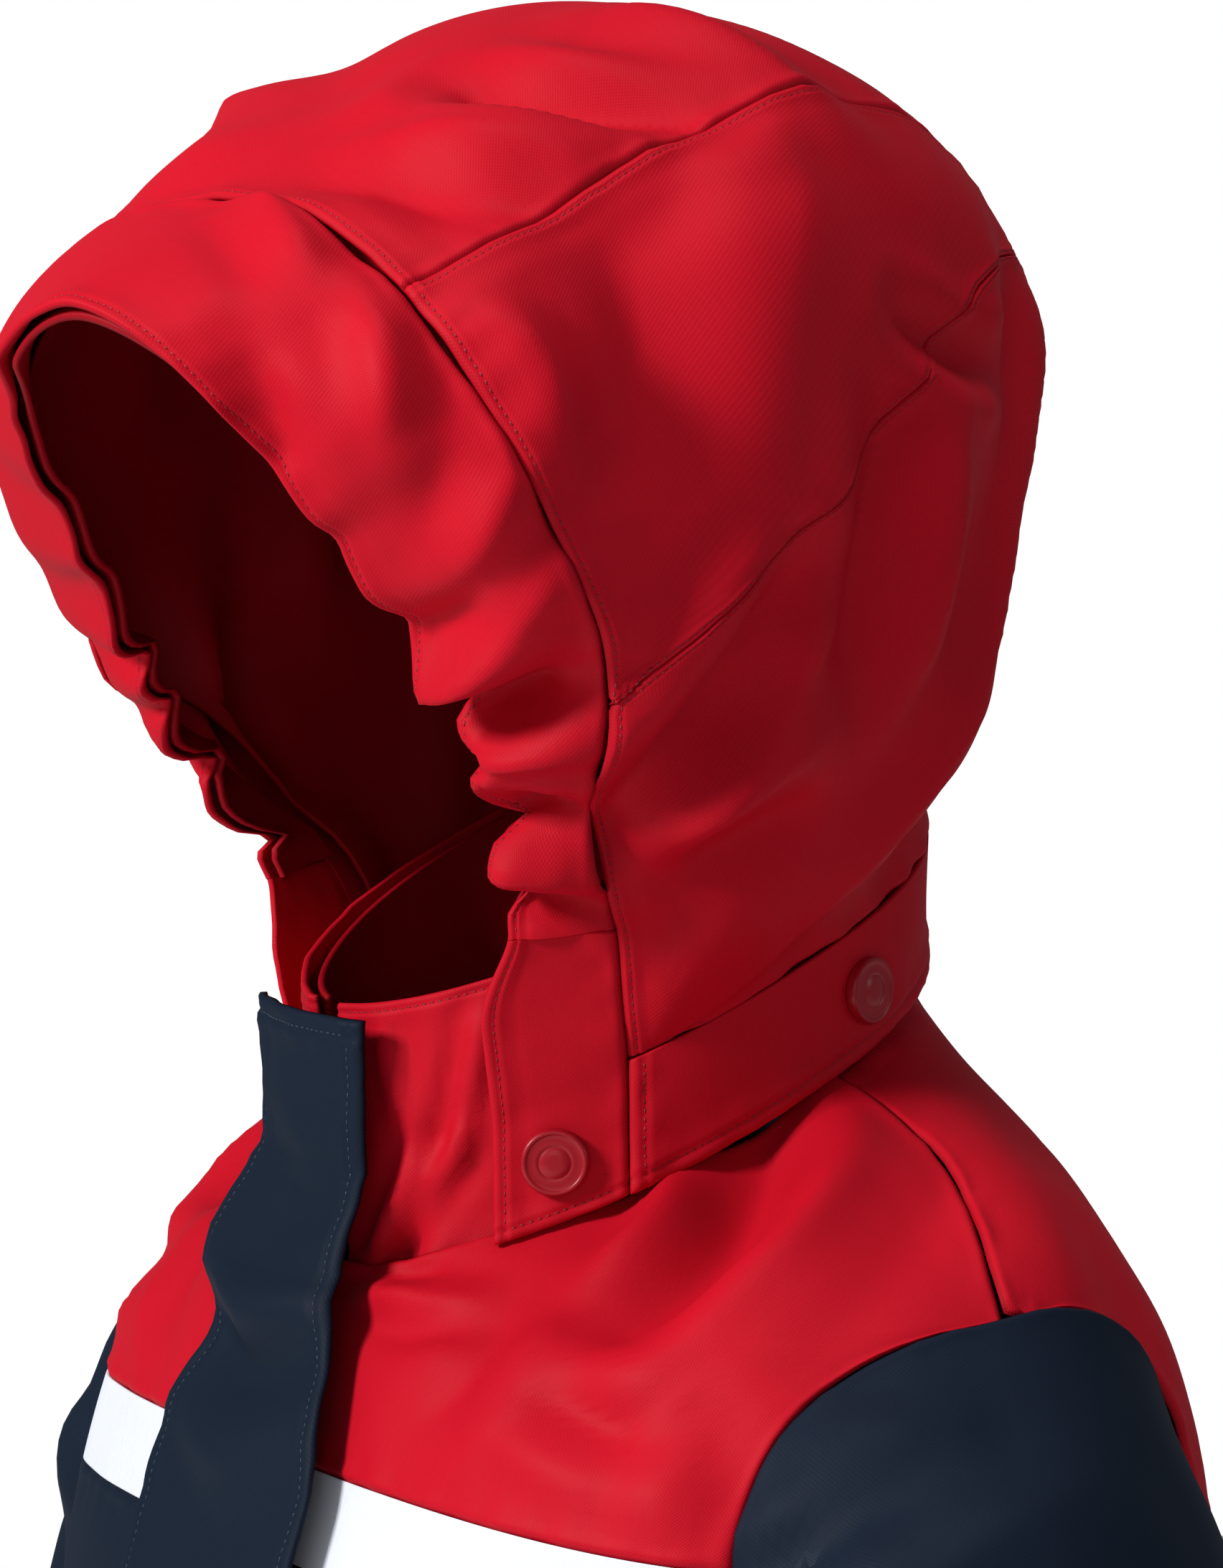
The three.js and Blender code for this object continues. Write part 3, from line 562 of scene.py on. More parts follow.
PUCKERED = (Edge.SEAM, Edge.TOPSTITCHED, Edge.HEMMED)
EDGE_STEPS = (0, 0.17, 0.4, 0.72, 1.0, 1.28, 1.7, 2.4)
ROW_STEP = 4
SURVEY = 49


def look_up(table: Array, share: Array) -> Array:
    """Values of each column of a table at shares of its height."""
    x = np.clip(share, 0, 1) * (len(table) - 1)
    i = np.minimum(x.astype(int), len(table) - 2)
    each = np.arange(table.shape[1])
    return lerp(table[i, each], table[i + 1, each], x - i)


@dataclass
class Layout:
    """Where a panel's vertices lie: parameters, places and distances from its edges."""

    guide: Guide
    region: Region
    pitch: float
    row: float

    def __post_init__(self) -> None:
        """Works out the grid."""
        fine = np.linspace(0, 1, SURVEY)
        s, t = np.meshgrid(fine, fine)
        p = self.guide.point(*self.region(s.ravel(), t.ravel())).reshape(SURVEY, SURVEY, 3)
        run = self.lengths(p)
        climb = self.lengths(p.swapaxes(0, 1))
        over, up = self.marks(run), self.marks(climb)
        columns = self.shares(over, run, fine)
        rows = self.shares(up, climb, fine)
        n, m = over.shape[1], up.shape[1]
        s = np.repeat(columns.mean(0)[None], m, 0)
        t = np.repeat(rows.mean(0)[:, None], n, 1)
        for _ in range(8):
            t = lerp(t, np.stack([np.interp(s[j], fine, rows[:, j]) for j in range(m)]), 0.6)
            s = lerp(s, look_up(columns, t), 0.6)
        self.shape = (m, n)
        a, b = self.region(s.ravel(), t.ravel())
        self.a, self.b = a, b
        self.places, self.out = self.guide.point(a, b), self.guide.normal(a, b)
        u = look_up(over, t)
        v = np.stack([np.interp(s[j], fine, up[:, j]) for j in range(m)])
        width = look_up(np.repeat(run[:, -1:], n, 1), t)
        height = np.interp(s, fine, climb[:, -1])
        self.u, self.v = u.ravel(), v.ravel()
        self.gaps = (self.u, (width - u).ravel(), self.v, (height - v).ravel())
        cell = np.linalg.norm(np.cross(p[1:, :-1] - p[:-1, :-1], p[:-1, 1:] - p[:-1, :-1]), axis=2)
        self.area = float(cell.sum())
        self.most = (float(run[:, -1].max()), float(climb[:, -1].max()))

    @staticmethod
    def lengths(p: Array) -> Array:
        """Distance run along each row of places."""
        steps = np.linalg.norm(np.diff(p, axis=1), axis=2)
        return np.concatenate([np.zeros((len(p), 1)), np.cumsum(steps, 1)], 1)

    def marks(self, run: Array) -> Array:
        """Distances along each row where a vertex goes: close together near both ends."""
        whole = run[:, -1]
        edge = np.array(EDGE_STEPS) * self.row
        count = max(2, round((whole.mean() - 2 * edge[-1]) / self.pitch))
        squeeze = np.minimum(1, whole / (2.6 * edge[-1]))[:, None]
        near = edge[None] * squeeze
        far = whole[:, None] - near[:, ::-1]
        share = np.linspace(0, 1, count + 1)[1:-1]
        return np.concatenate([near, lerp(near[:, -1:], far[:, :1], share[None]), far], 1)

    @staticmethod
    def shares(marks: Array, run: Array, fine: Array) -> Array:
        """Shares along each row that give the marked distances."""
        return np.stack([np.interp(m, r, fine) for m, r in zip(marks, run)])


# ---- Shaders --------------------------------------------------------------------------
class Wire:
    """An output socket that can be used in sums."""

    def __init__(self, net: "Net", socket: bpy.types.NodeSocket) -> None:
        """Keeps the socket and its node tree."""
        self.net, self.socket = net, socket

    def sum(self, operation: str, *values: Any) -> "Wire":
        """Result of one Math node."""
        node = self.net.node("ShaderNodeMath", {"operation": operation}, dict(enumerate(values)))
        return node("Value")

    def __add__(self, other: Any) -> "Wire":
        """Sum."""
        return self.sum("ADD", self, other)

    __radd__ = __add__

    def __sub__(self, other: Any) -> "Wire":
        """Difference."""
        return self.sum("SUBTRACT", self, other)

    def __mul__(self, other: Any) -> "Wire":
        """Product."""
        return self.sum("MULTIPLY", self, other)

    __rmul__ = __mul__

    def sin(self) -> "Wire":
        """Sine."""
        return self.sum("SINE", self)


class Net:
    """The node tree of one material."""

    def __init__(self, name: str) -> None:
        """Starts a material with nothing but its output."""
        self.material = bpy.data.materials.new(name)
        self.material.use_nodes = True
        self.tree = self.material.node_tree
        self.tree.nodes.clear()

    def node(self, kind: str, settings: dict[str, Any] | None = None,
             inputs: dict[Any, Any] | None = None) -> Callable[[str], Wire]:
        """Adds a node.

        Args:
            kind: Blender's node type.
            settings: the node's own settings, set first.
            inputs: values or links by socket name or number.

        Returns:
            A function that gives the node's output by name.
        """
        made = self.tree.nodes.new(kind)
        for key, value in (settings or {}).items():
            setattr(made, key, value)
        for key, value in (inputs or {}).items():
            if isinstance(value, Wire):
                self.tree.links.new(value.socket, made.inputs[key])
            else:
                made.inputs[key].default_value = value
        return lambda name: Wire(self, made.outputs[name])

    def noise(self, scale: float, detail: float = 2.0, vector: Wire | None = None) -> Wire:
        """Noise from 0 to 1."""
        where = vector or self.node("ShaderNodeTexCoord")("Object")
        values = {"Vector": where, "Scale": scale, "Detail": detail}
        return self.node("ShaderNodeTexNoise", None, values)("Fac")

    def blend(self, low: Any, high: Any, share: Any) -> Wire:
        """Colour between two colours."""
        node = self.tree.nodes.new("ShaderNodeMix")
        node.data_type = "RGBA"
        for socket, value in zip((node.inputs[0], node.inputs[6], node.inputs[7]), (share, low, high)):
            if isinstance(value, Wire):
                self.tree.links.new(value.socket, socket)
            else:
                socket.default_value = value
        return Wire(self, node.outputs[2])

    def bump(self, height: Wire, distance: float, strength: float) -> Wire:
        """Normal raised by a height."""
        values = {"Strength": strength, "Distance": distance, "Height": height}
        return self.node("ShaderNodeBump", None, values)("Normal")

    def surface(self, inputs: dict[str, Any]) -> bpy.types.Material:
        """Closes the material with one Principled shader."""
        shader = self.node("ShaderNodeBsdfPrincipled", None, inputs)("BSDF")
        self.node("ShaderNodeOutputMaterial", None, {"Surface": shader})
        return self.material


Colour = tuple[float, float, float]


def rgba(colour: Colour, scale: float = 1.0) -> tuple[float, float, float, float]:
    """Linear colour with its alpha."""
    return (*(c * scale for c in colour), 1.0)


@dataclass(frozen=True)
class Finish:
    """A finish: its name, the record's material slot and its colour."""

    name: str
    slot: str
    colour: Colour

    def build(self) -> bpy.types.Material:
        """Makes the material."""
        raise NotImplementedError

    def material(self) -> bpy.types.Material:
        """The material, made once."""
        return bpy.data.materials.get(self.name) or self.build()


@dataclass(frozen=True)
class Cloth(Finish):
    """Woven cloth: threads over and under, slubs, and painted shade and dirt that darken the seam grooves.
    """

    thread: float = 0.42
    roughness: float = 0.56
    sheen: float = 0.0
    relief: float = 0.35

    def build(self) -> bpy.types.Material:
        """Makes the weave."""
        net = Net(self.name)
        place = net.node("ShaderNodeUVMap", {"uv_map": "weave"})("UV")
        split = net.node("ShaderNodeSeparateXYZ", None, {"Vector": place})
        turn = math.pi / self.thread
        weave = (split("X") * turn).sin() * (split("Y") * turn).sin()
        fine = net.noise(2600.0, 1.0)
        slub = net.noise(1.0, 1.0, net.node(
            "ShaderNodeMapping", None, {"Vector": place, "Scale": (2.2, 0.16, 1.0)})("Vector"))
        cloud = net.noise(9.0, 3.0)
        # Painted shade and dirt: a per-vertex amount darkens the cloth in its seam grooves.
        seam_shade_and_dirt = net.node("ShaderNodeAttribute", {"attribute_name": "seam_shade_and_dirt"})("Fac")
        tone = weave * 0.16 + fine * 0.3 + slub * 0.3 + cloud * 0.34 - 0.05
        cloth = net.blend(rgba(self.colour, 0.78), rgba(self.colour, 1.16), tone)
        cloth = net.blend(cloth, rgba(self.colour, 0.42), seam_shade_and_dirt * 0.75)
        height = weave * 0.5 + fine * 0.5 + slub * 0.35
        return net.surface({
            "Base Color": cloth,
            "Roughness": fine * 0.08 + cloud * 0.08 + (self.roughness - 0.08),
            "Normal": net.bump(height, 0.00012, self.relief),
            "Sheen Weight": self.sheen, "Sheen Roughness": 0.45,
            "Sheen Tint": rgba(self.colour, 1.6), "Specular IOR Level": 0.08,
        })


@dataclass(frozen=True)
class Pile(Finish):
    """Looped or hooked pile of a touch fastening."""

    def build(self) -> bpy.types.Material:
        """Makes the pile."""
        net = Net(self.name)
        loops, clumps = net.noise(1900.0, 3.0), net.noise(260.0, 2.0)
        tone = loops * 0.7 + clumps * 0.3
        return net.surface({
            "Base Color": net.blend(rgba(self.colour, 0.45), rgba(self.colour, 1.5), tone),
            "Roughness": loops * 0.1 + 0.85,
            "Normal": net.bump(loops + clumps * 0.5, 0.0009, 1.0),
            "Sheen Weight": 0.08, "Specular IOR Level": 0.15,
        })


@dataclass(frozen=True)
class Thread(Finish):
    """Sewing thread: two plies twisted together."""

    def build(self) -> bpy.types.Material:
        """Makes the thread."""
        net = Net(self.name)
        ply = net.noise(3200.0, 1.0)
        return net.surface({
            "Base Color": net.blend(rgba(self.colour, 0.7), rgba(self.colour, 1.25), ply),
            "Roughness": ply * 0.15 + 0.42, "Normal": net.bump(ply, 0.0001, 0.5),
        })


@dataclass(frozen=True)
class Hard(Finish):
    """Moulded plastic or plated metal, with fine scuffs."""

    metallic: float = 0.0
    roughness: float = 0.3
    coat: float = 0.0

    def build(self) -> bpy.types.Material:
        """Makes the hard finish."""
        net = Net(self.name)
        grain, scuff = net.noise(1400.0, 2.0), net.noise(160.0, 5.0)
        return net.surface({
            "Base Color": net.blend(rgba(self.colour, 0.86), rgba(self.colour, 1.12), scuff),
            "Roughness": scuff * 0.16 + grain * 0.06 + (self.roughness - 0.1),
            "Metallic": self.metallic, "Specular IOR Level": 0.3,
            "Coat Weight": self.coat, "Coat Roughness": 0.12,
            "Normal": net.bump(grain, 0.00004, 0.25),
        })


RED = Cloth("red_shell_weave", "red_shell", (0.54, 0.0045, 0.0165))
NAVY = Cloth("navy_shell_weave", "navy_shell", (0.0068, 0.0135, 0.027))
WHITE = Cloth("white_shell_weave", "white_shell", (0.78, 0.81, 0.88))
RED_LINING = Cloth("red_lining_taffeta", "red_lining", (0.33, 0.003, 0.010), thread=0.3, roughness=0.48)
NAVY_LINING = Cloth("navy_lining_taffeta", "navy_lining", (0.010, 0.018, 0.034), thread=0.3, roughness=0.45)
RED_PILE = Pile("red_loop_pile", "red_pile", (0.22, 0.010, 0.018))
NAVY_PILE = Pile("navy_hook_pile", "navy_pile", (0.02, 0.03, 0.05))
RED_THREAD = Thread("red_thread", "red_shell", (0.27, 0.003, 0.010))
NAVY_THREAD = Thread("navy_thread", "navy_shell", (0.016, 0.028, 0.05))
RED_CAP = Hard("red_snap_plastic", "red_snap", (0.34, 0.003, 0.011), roughness=0.36, coat=0.12)
BRASS = Hard("plated_brass", "brass", (0.62, 0.47, 0.24), metallic=1.0, roughness=0.34)
COIL = Hard("zip_coil_nylon", "navy_coil", (0.010, 0.015, 0.028), roughness=0.4)


# ---- Meshes ---------------------------------------------------------------------------
class Workshop:
    """Turns millimetre meshes into pieces of the frame."""

    def __init__(self) -> None:
        """Finds how far the pattern's origin is from the frame's."""
        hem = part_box("body_back")[1].y
        self.offset = np.array([0.0, hem - (114 + FABRIC) * MM, 0.0])

    def place(self, millimetres: Array) -> Array:
        """Places in the frame, in metres."""
        return np.asarray(millimetres, float) * MM + self.offset

    def mesh(self, name: str, places: Array, faces: Sequence[Sequence[int]], finish: Finish,
             weave: Array | None = None, seam_shade_and_dirt: Array | None = None) -> bpy.types.Object:
        """Makes one object.

        Args:
            name: the piece's name.
            places: vertices in millimetres.
            faces: vertex numbers of each face.
            finish: what it is made of.
            weave: thread coordinates of each vertex, in millimetres.
            seam_shade_and_dirt: how far each vertex lies in a seam groove, 0 to 1, which sets the painted
                shade and dirt there.

        Returns:
            The object, linked to the scene.
        """
        data = bpy.data.meshes.new(name)
        data.from_pydata(self.place(places).tolist(), [], [list(map(int, f)) for f in faces])
        data.validate()
        data.polygons.foreach_set("use_smooth", np.ones(len(data.polygons), bool))
        if weave is not None:
            loops = np.empty(len(data.loops), int)
            data.loops.foreach_get("vertex_index", loops)
            layer = data.uv_layers.new(name="weave")
            layer.uv.foreach_set("vector", weave[loops].astype(np.float32).ravel())
        # Per-vertex amount of painted shade and dirt in the seam grooves.
        if seam_shade_and_dirt is not None:
            layer = data.attributes.new("seam_shade_and_dirt", "FLOAT", "POINT")
            layer.data.foreach_set("value", np.clip(seam_shade_and_dirt, 0, 1).astype(np.float32))
        data.materials.append(finish.material())
        piece = bpy.data.objects.new(name, data)
        bpy.context.scene.collection.objects.link(piece)
        return piece


Bend = tuple[str, str, tuple[float, float, float], tuple[float, float, float]]


def move_with(piece: bpy.types.Object, carrier: "str | Bend", shop: Workshop) -> None:
    """Lets a piece ride on one body. For a bend between two bodies it only bakes the piece's transform."""
    if isinstance(carrier, str):
        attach(piece, carrier)
        return
    first, second, start, end = carrier
    start, end = (tuple(shop.place(p).tolist()) for p in (start, end))
    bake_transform(piece)
    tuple(start)
    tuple(end)


@dataclass
class StitchRow:
    """Rows of stitches in one thread that move together."""

    thread: Finish
    pitch: float = 2.0
    gap: float = 0.5
    places: list[Array] = field(default_factory=list)
    faces: list[Array] = field(default_factory=list)
    count: int = 0

    def add(self, path: Array, out: Array, flip: bool = False) -> None:
        """Adds stitches along a path that lies on the cloth.

        Args:
            path: places along the row.
            out: outward direction at each place.
            flip: whether the row is on a mirrored panel.
        """
        run = np.concatenate([[0], np.cumsum(np.linalg.norm(np.diff(path, axis=0), axis=1))])
        number = int((run[-1] - 2) / self.pitch)
        if number < 1:
            return
        starts = 1 + (run[-1] - 2 - number * self.pitch) / 2 + self.pitch * np.arange(number)
        length = self.pitch - self.gap
        at = lambda d, v: np.stack([np.interp(d, run, v[:, k]) for k in range(3)], -1)
        up = unit(at(starts + length / 2, out))
        ends = [at(starts + length * f, path) for f in (0, 0.22, 0.78, 1)]
        side = unit(np.cross(up, ends[3] - ends[0])) * (-1 if flip else 1)
        ring = [(0.24, 0.0), (0.0, 0.26), (-0.24, 0.0), (0.0, -0.1)]
        block = [ends[0] - 0.22 * up]
        for end in ends[1:3]:
            block += [end + w * side + (h + 0.03) * up for w, h in ring]
        block.append(ends[3] - 0.22 * up)
        verts = np.stack(block, 1)
        quads = []
        for k in range(4):
            n = (k + 1) % 4
            quads += [(0, 1 + n, 1 + k, 1 + k), (1 + k, 1 + n, 5 + n, 5 + k), (9, 5 + k, 5 + n, 5 + n)]
        quads = np.array(quads)
        shift = self.count + 10 * np.arange(number)
        self.places.append(verts.reshape(-1, 3))
        self.faces.append((quads[None] + shift[:, None, None]).reshape(-1, 4))
        self.count += 10 * number

    def build(self, name: str, shop: Workshop) -> bpy.types.Object:
        """Makes the rows one piece."""
        faces = [tuple(dict.fromkeys(f)) for f in np.concatenate(self.faces).tolist()]
        return shop.mesh(name, np.concatenate(self.places), faces, self.thread)


@dataclass
class Panel:
    """One sewn panel: its cut, edges, folds and cloth.

    The edges are those at s=0, s=1, t=0 and t=1.
    """

    name: str
    guide: Guide
    region: Region
    finish: Finish
    edges: tuple[Edge, Edge, Edge, Edge]
    nodes: tuple[str, ...] = ()
    folds: Sequence[Fold] = ()
    lift: float = 0.0
    thickness: float = FABRIC
    pitch: float = 3.0
    row: float = 2.0
    rough: float = 0.5
    seed: int = 1
    extra: Callable[[Layout], Array] | None = None
    shift: Callable[[Layout], Array] | None = None
    mirror: bool = False
    held: str = "hung"

    def build(self, shop: Workshop, carrier: "str | Bend", stitches: StitchRow | None = None,
              rests_on: Sequence[str] = ()) -> bpy.types.Object:
        """Makes the panel and hands its stitch rows over.

        Args:
            shop: the workshop.
            carrier: the body it rides on, or what it bends between.
            stitches: where its stitch rows go.
            rests_on: nodes that it hangs from; not used.

        Returns:
            The panel's object.
        """
        grid = Layout(self.guide, self.region, self.pitch, self.row)
        drape = self.rough * rumple(grid.places, 38, self.seed)
        sewn = sum(bell(gap - 3, 6) for edge, gap in zip(self.edges, grid.gaps) if edge in PUCKERED)
        drape = drape + 0.45 * sewn * rumple(grid.places, 8, self.seed + 50)
        for one in self.folds:
            drape = drape + one.relief(self.guide, grid.places)
        if self.extra:
            drape = drape + self.extra(grid)
        seam = sum(edge.relief(gap, self.row) for edge, gap in zip(self.edges, grid.gaps))
        seam = np.maximum(seam, 0.12 - self.thickness)
        base = grid.places + (self.shift(grid) if self.shift else 0)
        inner = base + grid.out * (self.lift + drape)[:, None]
        outer = base + grid.out * (self.lift + drape + self.thickness + seam)[:, None]
        if self.mirror:
            inner, outer = inner * (-1, 1, 1), outer * (-1, 1, 1)
        m, n = grid.shape
        number = np.arange(m * n).reshape(m, n)
        quads = [self.quads(number), self.quads(number + m * n)[:, ::-1]]
        border = np.concatenate([number[0, :-1], number[:-1, -1], number[-1, :0:-1], number[:0:-1, 0]])
        ahead = np.roll(border, -1)
        quads.append(np.stack([ahead, border, border + m * n, ahead + m * n], 1))
        faces = np.concatenate(quads)
        if self.mirror:
            faces = faces[:, ::-1]
        weave = np.tile(np.stack([grid.u, grid.v], 1), (2, 1))
        # Painted shade and dirt: outer vertices are marked where the seam relief dips, so the cloth is
        # drawn darker in its seam grooves.
        seam_shade_and_dirt = np.concatenate([-seam / 0.8, np.zeros(m * n)])
        piece = shop.mesh(self.name, np.concatenate([outer, inner]), faces, self.finish, weave, seam_shade_and_dirt)
        if stitches:
            self.stitch(stitches, outer.reshape(m, n, 3), grid)
        if self.nodes:
            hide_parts(*self.nodes)
        move_with(piece, carrier, shop)
        flat = tuple(math.ceil(x) * MM for x in grid.most)
        log.info("%s: %.0f x %.0f mm flat, %d vertices", self.name, *grid.most, 2 * m * n)
        return piece

    @staticmethod
    def quads(number: Array) -> Array:
        """Faces of a grid, seen from outside."""
        corners = [number[:-1, :-1], number[:-1, 1:], number[1:, 1:], number[1:, :-1]]
        return np.stack([c.ravel() for c in corners], 1)

    def stitch(self, stitches: StitchRow, outer: Array, grid: Layout) -> None:
        """Adds the rows of stitches along the panel's stitched edges."""
        m, n = grid.shape
        out = grid.out.reshape(m, n, 3) * ((-1, 1, 1) if self.mirror else (1, 1, 1))
        k = ROW_STEP
        lines = (np.s_[:, k], np.s_[:, n - 1 - k], np.s_[k, :], np.s_[m - 1 - k, :])
        for edge, line, far in zip(self.edges, lines, (m, m, n, n)):
            if not edge.stitched:
                continue
            path, up = outer[line], out[line]
            trim = [ROW_STEP * (self.edges[e].stitched or self.edges[e] is Edge.SEAM) for e in (
                (2, 3) if far == m else (0, 1))]
            path, up = path[trim[0]:far - trim[1]], up[trim[0]:far - trim[1]]
            stitches.add(path, up, self.mirror)


# ---- Sub-assemblies -------------------------------------------------------------------
TILT = np.array([0.0, -0.4027, 0.9153])
HOOD_BEND: Bend = ("jacket", "hood", tuple(np.array([0, 0, HOOD_BASE]) + 31 * TILT),
                   tuple(np.array([0, 0, HOOD_BASE]) + 105 * TILT))
FLAP_BEND: Bend = ("jacket", "flap", (24.0, -95.0, 200.0), (4.0, -95.0, 200.0))
S, T_, H, F, R_ = Edge.SEAM, Edge.TOPSTITCHED, Edge.HEMMED, Edge.FOLDED, Edge.RAW


def arm_bend(side: int) -> Bend:
    """How a sleeve's cloth bends at the shoulder."""
    name = "arm_left" if side > 0 else "arm_right"
    return ("jacket", name, (side * 157.0, 8.0, 335.0), (side * 219.9, 8.0, 295.8))


def tab_bend(side: int) -> Bend:
    """How a front tab's cloth bends below the brim."""
    name = "front_tab_left" if side > 0 else "front_tab_right"
    return ("jacket", name, (side * 55.0, -38.0, 529.0), (side * 55.0, -38.0, 493.0))


YOKE_FOLDS = (
    Fold(((98, 6.95), (78, 6.35), (62, 5.85), (48, 5.45)), -6.4, 8),
    Fold(((106, 6.6), (86, 6.1), (72, 5.6), (60, 5.25)), 5.0, 10),
    Fold(((36, 5.12), (43, 4.92), (50, 4.74)), -5.4, 6),
    Fold(((56, 4.9), (62, 4.6), (66, 4.3)), -3.4, 8),
    Fold(((20, 4.9), (28, 5.3), (36, 5.9)), -3.2, 8),
    Fold(((16, 6.5), (24, 6.2), (34, 6.1)), 3.0, 4),
    Fold(((15, 6.85), (22, 6.65), (30, 6.6)), -2.6, 3),
    Fold(((76, 6.8), (66, 6.4), (52, 6.1)), 3.2, 6),
)
BACK_FOLDS = (
    Fold(((120, 3.4), (140, 4.4), (150, 5.6)), 2.6, 14),
    Fold(((240, 3.4), (220, 4.4), (210, 5.6)), 2.6, 14),
    Fold(((180, 6.6), (178, 5.4), (182, 4.2)), 1.8, 12),
    Fold(((150, 1.0), (158, 2.2), (152, 3.4)), 3.0, 18),
    Fold(((212, 0.8), (203, 2.0), (208, 3.2)), 3.0, 18),
    Fold(((180, 0.4), (184, 1.6), (178, 2.6)), 2.4, 16),
)
BODY_FOLDS = (
    Fold(((40, 0.2), (38, 1.4), (46, 2.7)), 3.0, 14),
    Fold(((78, 0.3), (72, 1.5), (76, 3.0)), 2.8, 13),
    Fold(((58, 2.9), (66, 3.4), (72, 3.9)), 2.4, 8),
    Fold(((30, 2.4), (52, 2.7), (80, 2.6)), -1.6, 8),
)


FRONT_FOLDS = YOKE_FOLDS + BODY_FOLDS


@dataclass
class JacketBody:
    """Fronts, backs and chest stripe, with lining and hem facing."""

    shop: Workshop
    zip_gap: float = 12.0
    lining_depth: float = 8.0
    facing_height: float = 22.0

    def build(self) -> None:
        """Builds the body's panels."""
        start = UprightLine(self.zip_gap / 2)
        hem, neck = level(0.0), level(float(NECK_RING))
        rows = (
            ("body", hem, STRIPE_FOOT, NAVY, (R_, S, H, S), 4.0, (R_, R_, H, S)),
            ("stripe", STRIPE_FOOT, STRIPE_TOP, WHITE, (R_, S, R_, R_), 3.0, (R_, R_, R_, R_)),
            ("yoke", STRIPE_TOP, neck, RED, (R_, S, S, S), 2.6, (S, S, S, S)),
        )
        for name, low, high, cloth, edges, pitch, back_edges in rows:
            thread = NAVY_THREAD if cloth is NAVY else RED_THREAD
            rows_of = StitchRow(thread)
            cut = front_cut(low, high, start)
            for side, word in ((1, "left"), (-1, "right")):
                Panel(f"{name}_panel_front_{word}", TORSO, cut, cloth, edges, (f"{name}_front_{word}",),
                      FRONT_FOLDS, pitch=pitch, rough=1.0, seed=3, mirror=side < 0,
                      ).build(self.shop, "jacket", rows_of)
            Panel(f"{name}_panel_back", TORSO, back_cut(low, high), cloth, back_edges, (f"{name}_back",),
                  BACK_FOLDS, pitch=pitch, rough=1.0, seed=4).build(self.shop, "jacket", rows_of)
            if rows_of.count:
                move_with(rows_of.build(f"{name}_stitches", self.shop), "jacket", self.shop)
        self.line()

    def line(self) -> None:
        """Builds the lining and the facing of the hem."""
        start = UprightLine(self.zip_gap / 2 + 6)
        foot, head, inset = level(0.3), level(6.6), 1.5
        cut = front_cut(foot, head, start, inset)
        depth = -self.lining_depth - FABRIC
        plain = (R_, R_, R_, R_)
        for side, word in ((1, "left"), (-1, "right")):
            Panel(f"lining_panel_front_{word}", TORSO, cut, NAVY_LINING, plain, (f"lining_front_{word}",),
                  FRONT_FOLDS, pitch=7, lift=depth, rough=1.0, seed=3, mirror=side < 0,
                  ).build(self.shop, "jacket")
        Panel("lining_panel_back", TORSO, back_cut(foot, head, inset), NAVY_LINING, plain,
              ("lining_back",), BACK_FOLDS, pitch=7, lift=depth, rough=1.0, seed=4,
              ).build(self.shop, "jacket")
        top = float(HeightLine(lambda d: np.full_like(d, self.facing_height))(np.zeros(1))[0])
        edge = float(UprightLine(self.zip_gap / 2 + 2)(np.zeros(1))[0])
        Panel("hem_facing_strip", TORSO, patch(360 - edge, edge, 0, top), NAVY_LINING, (R_, R_, R_, F),
              ("hem_facing",), pitch=6, lift=-4.6, thickness=3.0, rough=0.2).build(self.shop, "jacket")


COLLAR_FOLDS = tuple(
    Fold(((a, foot), (a + k, foot + 11), (a + 2 * k, foot + 22)), h, 2.6)
    for a, k, foot, h in (
        (16, 6, 2, 3.4), (22, 7, -2, -3.4), (27, 6, 6, 4.2), (32, 4, 24, -3.2), (36, 4, 30, 3.6),
        (24, -2, 34, 2.4), (344, -6, 2, 3.4), (338, -7, -2, -3.4), (333, -6, 6, 4.2),
        (328, -4, 24, -3.2), (324, -4, 30, 3.6))
)


LOOP_HALF = 24


@dataclass
class CollarStand:
    """The stand-up collar, its lining and the hanger loop."""

    shop: Workshop
    height: float = 60.0

    def build(self) -> None:
        """Builds the collar."""
        edge = math.degrees(math.asin(6 / 57))
        thread = StitchRow(RED_THREAD)
        Panel("collar_shell", COLLAR, patch(edge, 360 - edge, 0, self.height), RED, (S, S, S, H),
              ("collar_outer",), COLLAR_FOLDS, pitch=2.6, rough=0.35, seed=11,
              ).build(self.shop, "jacket", thread)
        Panel("collar_inside", COLLAR, patch(edge + 3, 357 - edge, 2, self.height - 0.8), RED_LINING,
              (R_, R_, R_, F), ("collar_lining",), pitch=4, lift=-3 - FABRIC, rough=0.3, seed=12,
              ).build(self.shop, "jacket")
        move_with(thread.build("collar_stitches", self.shop), "jacket", self.shop)
        self.hang()

    def hang(self) -> None:
        """Builds the hanger loop of folded tape."""

        class Loop(Neck):
            """The loop's bow inside the collar."""

            def point(self, a: Array, b: Array) -> Array:
                """Places on the loop."""
                bow = 9 * np.cos(np.radians((a - 180) / LOOP_HALF * 90))
                return Neck(spread=-5.2 - bow).point(a, b)

        thread = StitchRow(NAVY_THREAD)
        Panel("hanger_tape", Loop(), patch(180 - LOOP_HALF, 180 + LOOP_HALF, 6, 14), NAVY,
              (F, F, H, H), ("hanger_loop",), pitch=2, lift=-FABRIC, row=1.4, rough=0.1,
              ).build(self.shop, "jacket", thread)
        move_with(thread.build("hanger_stitches", self.shop), "jacket", self.shop)


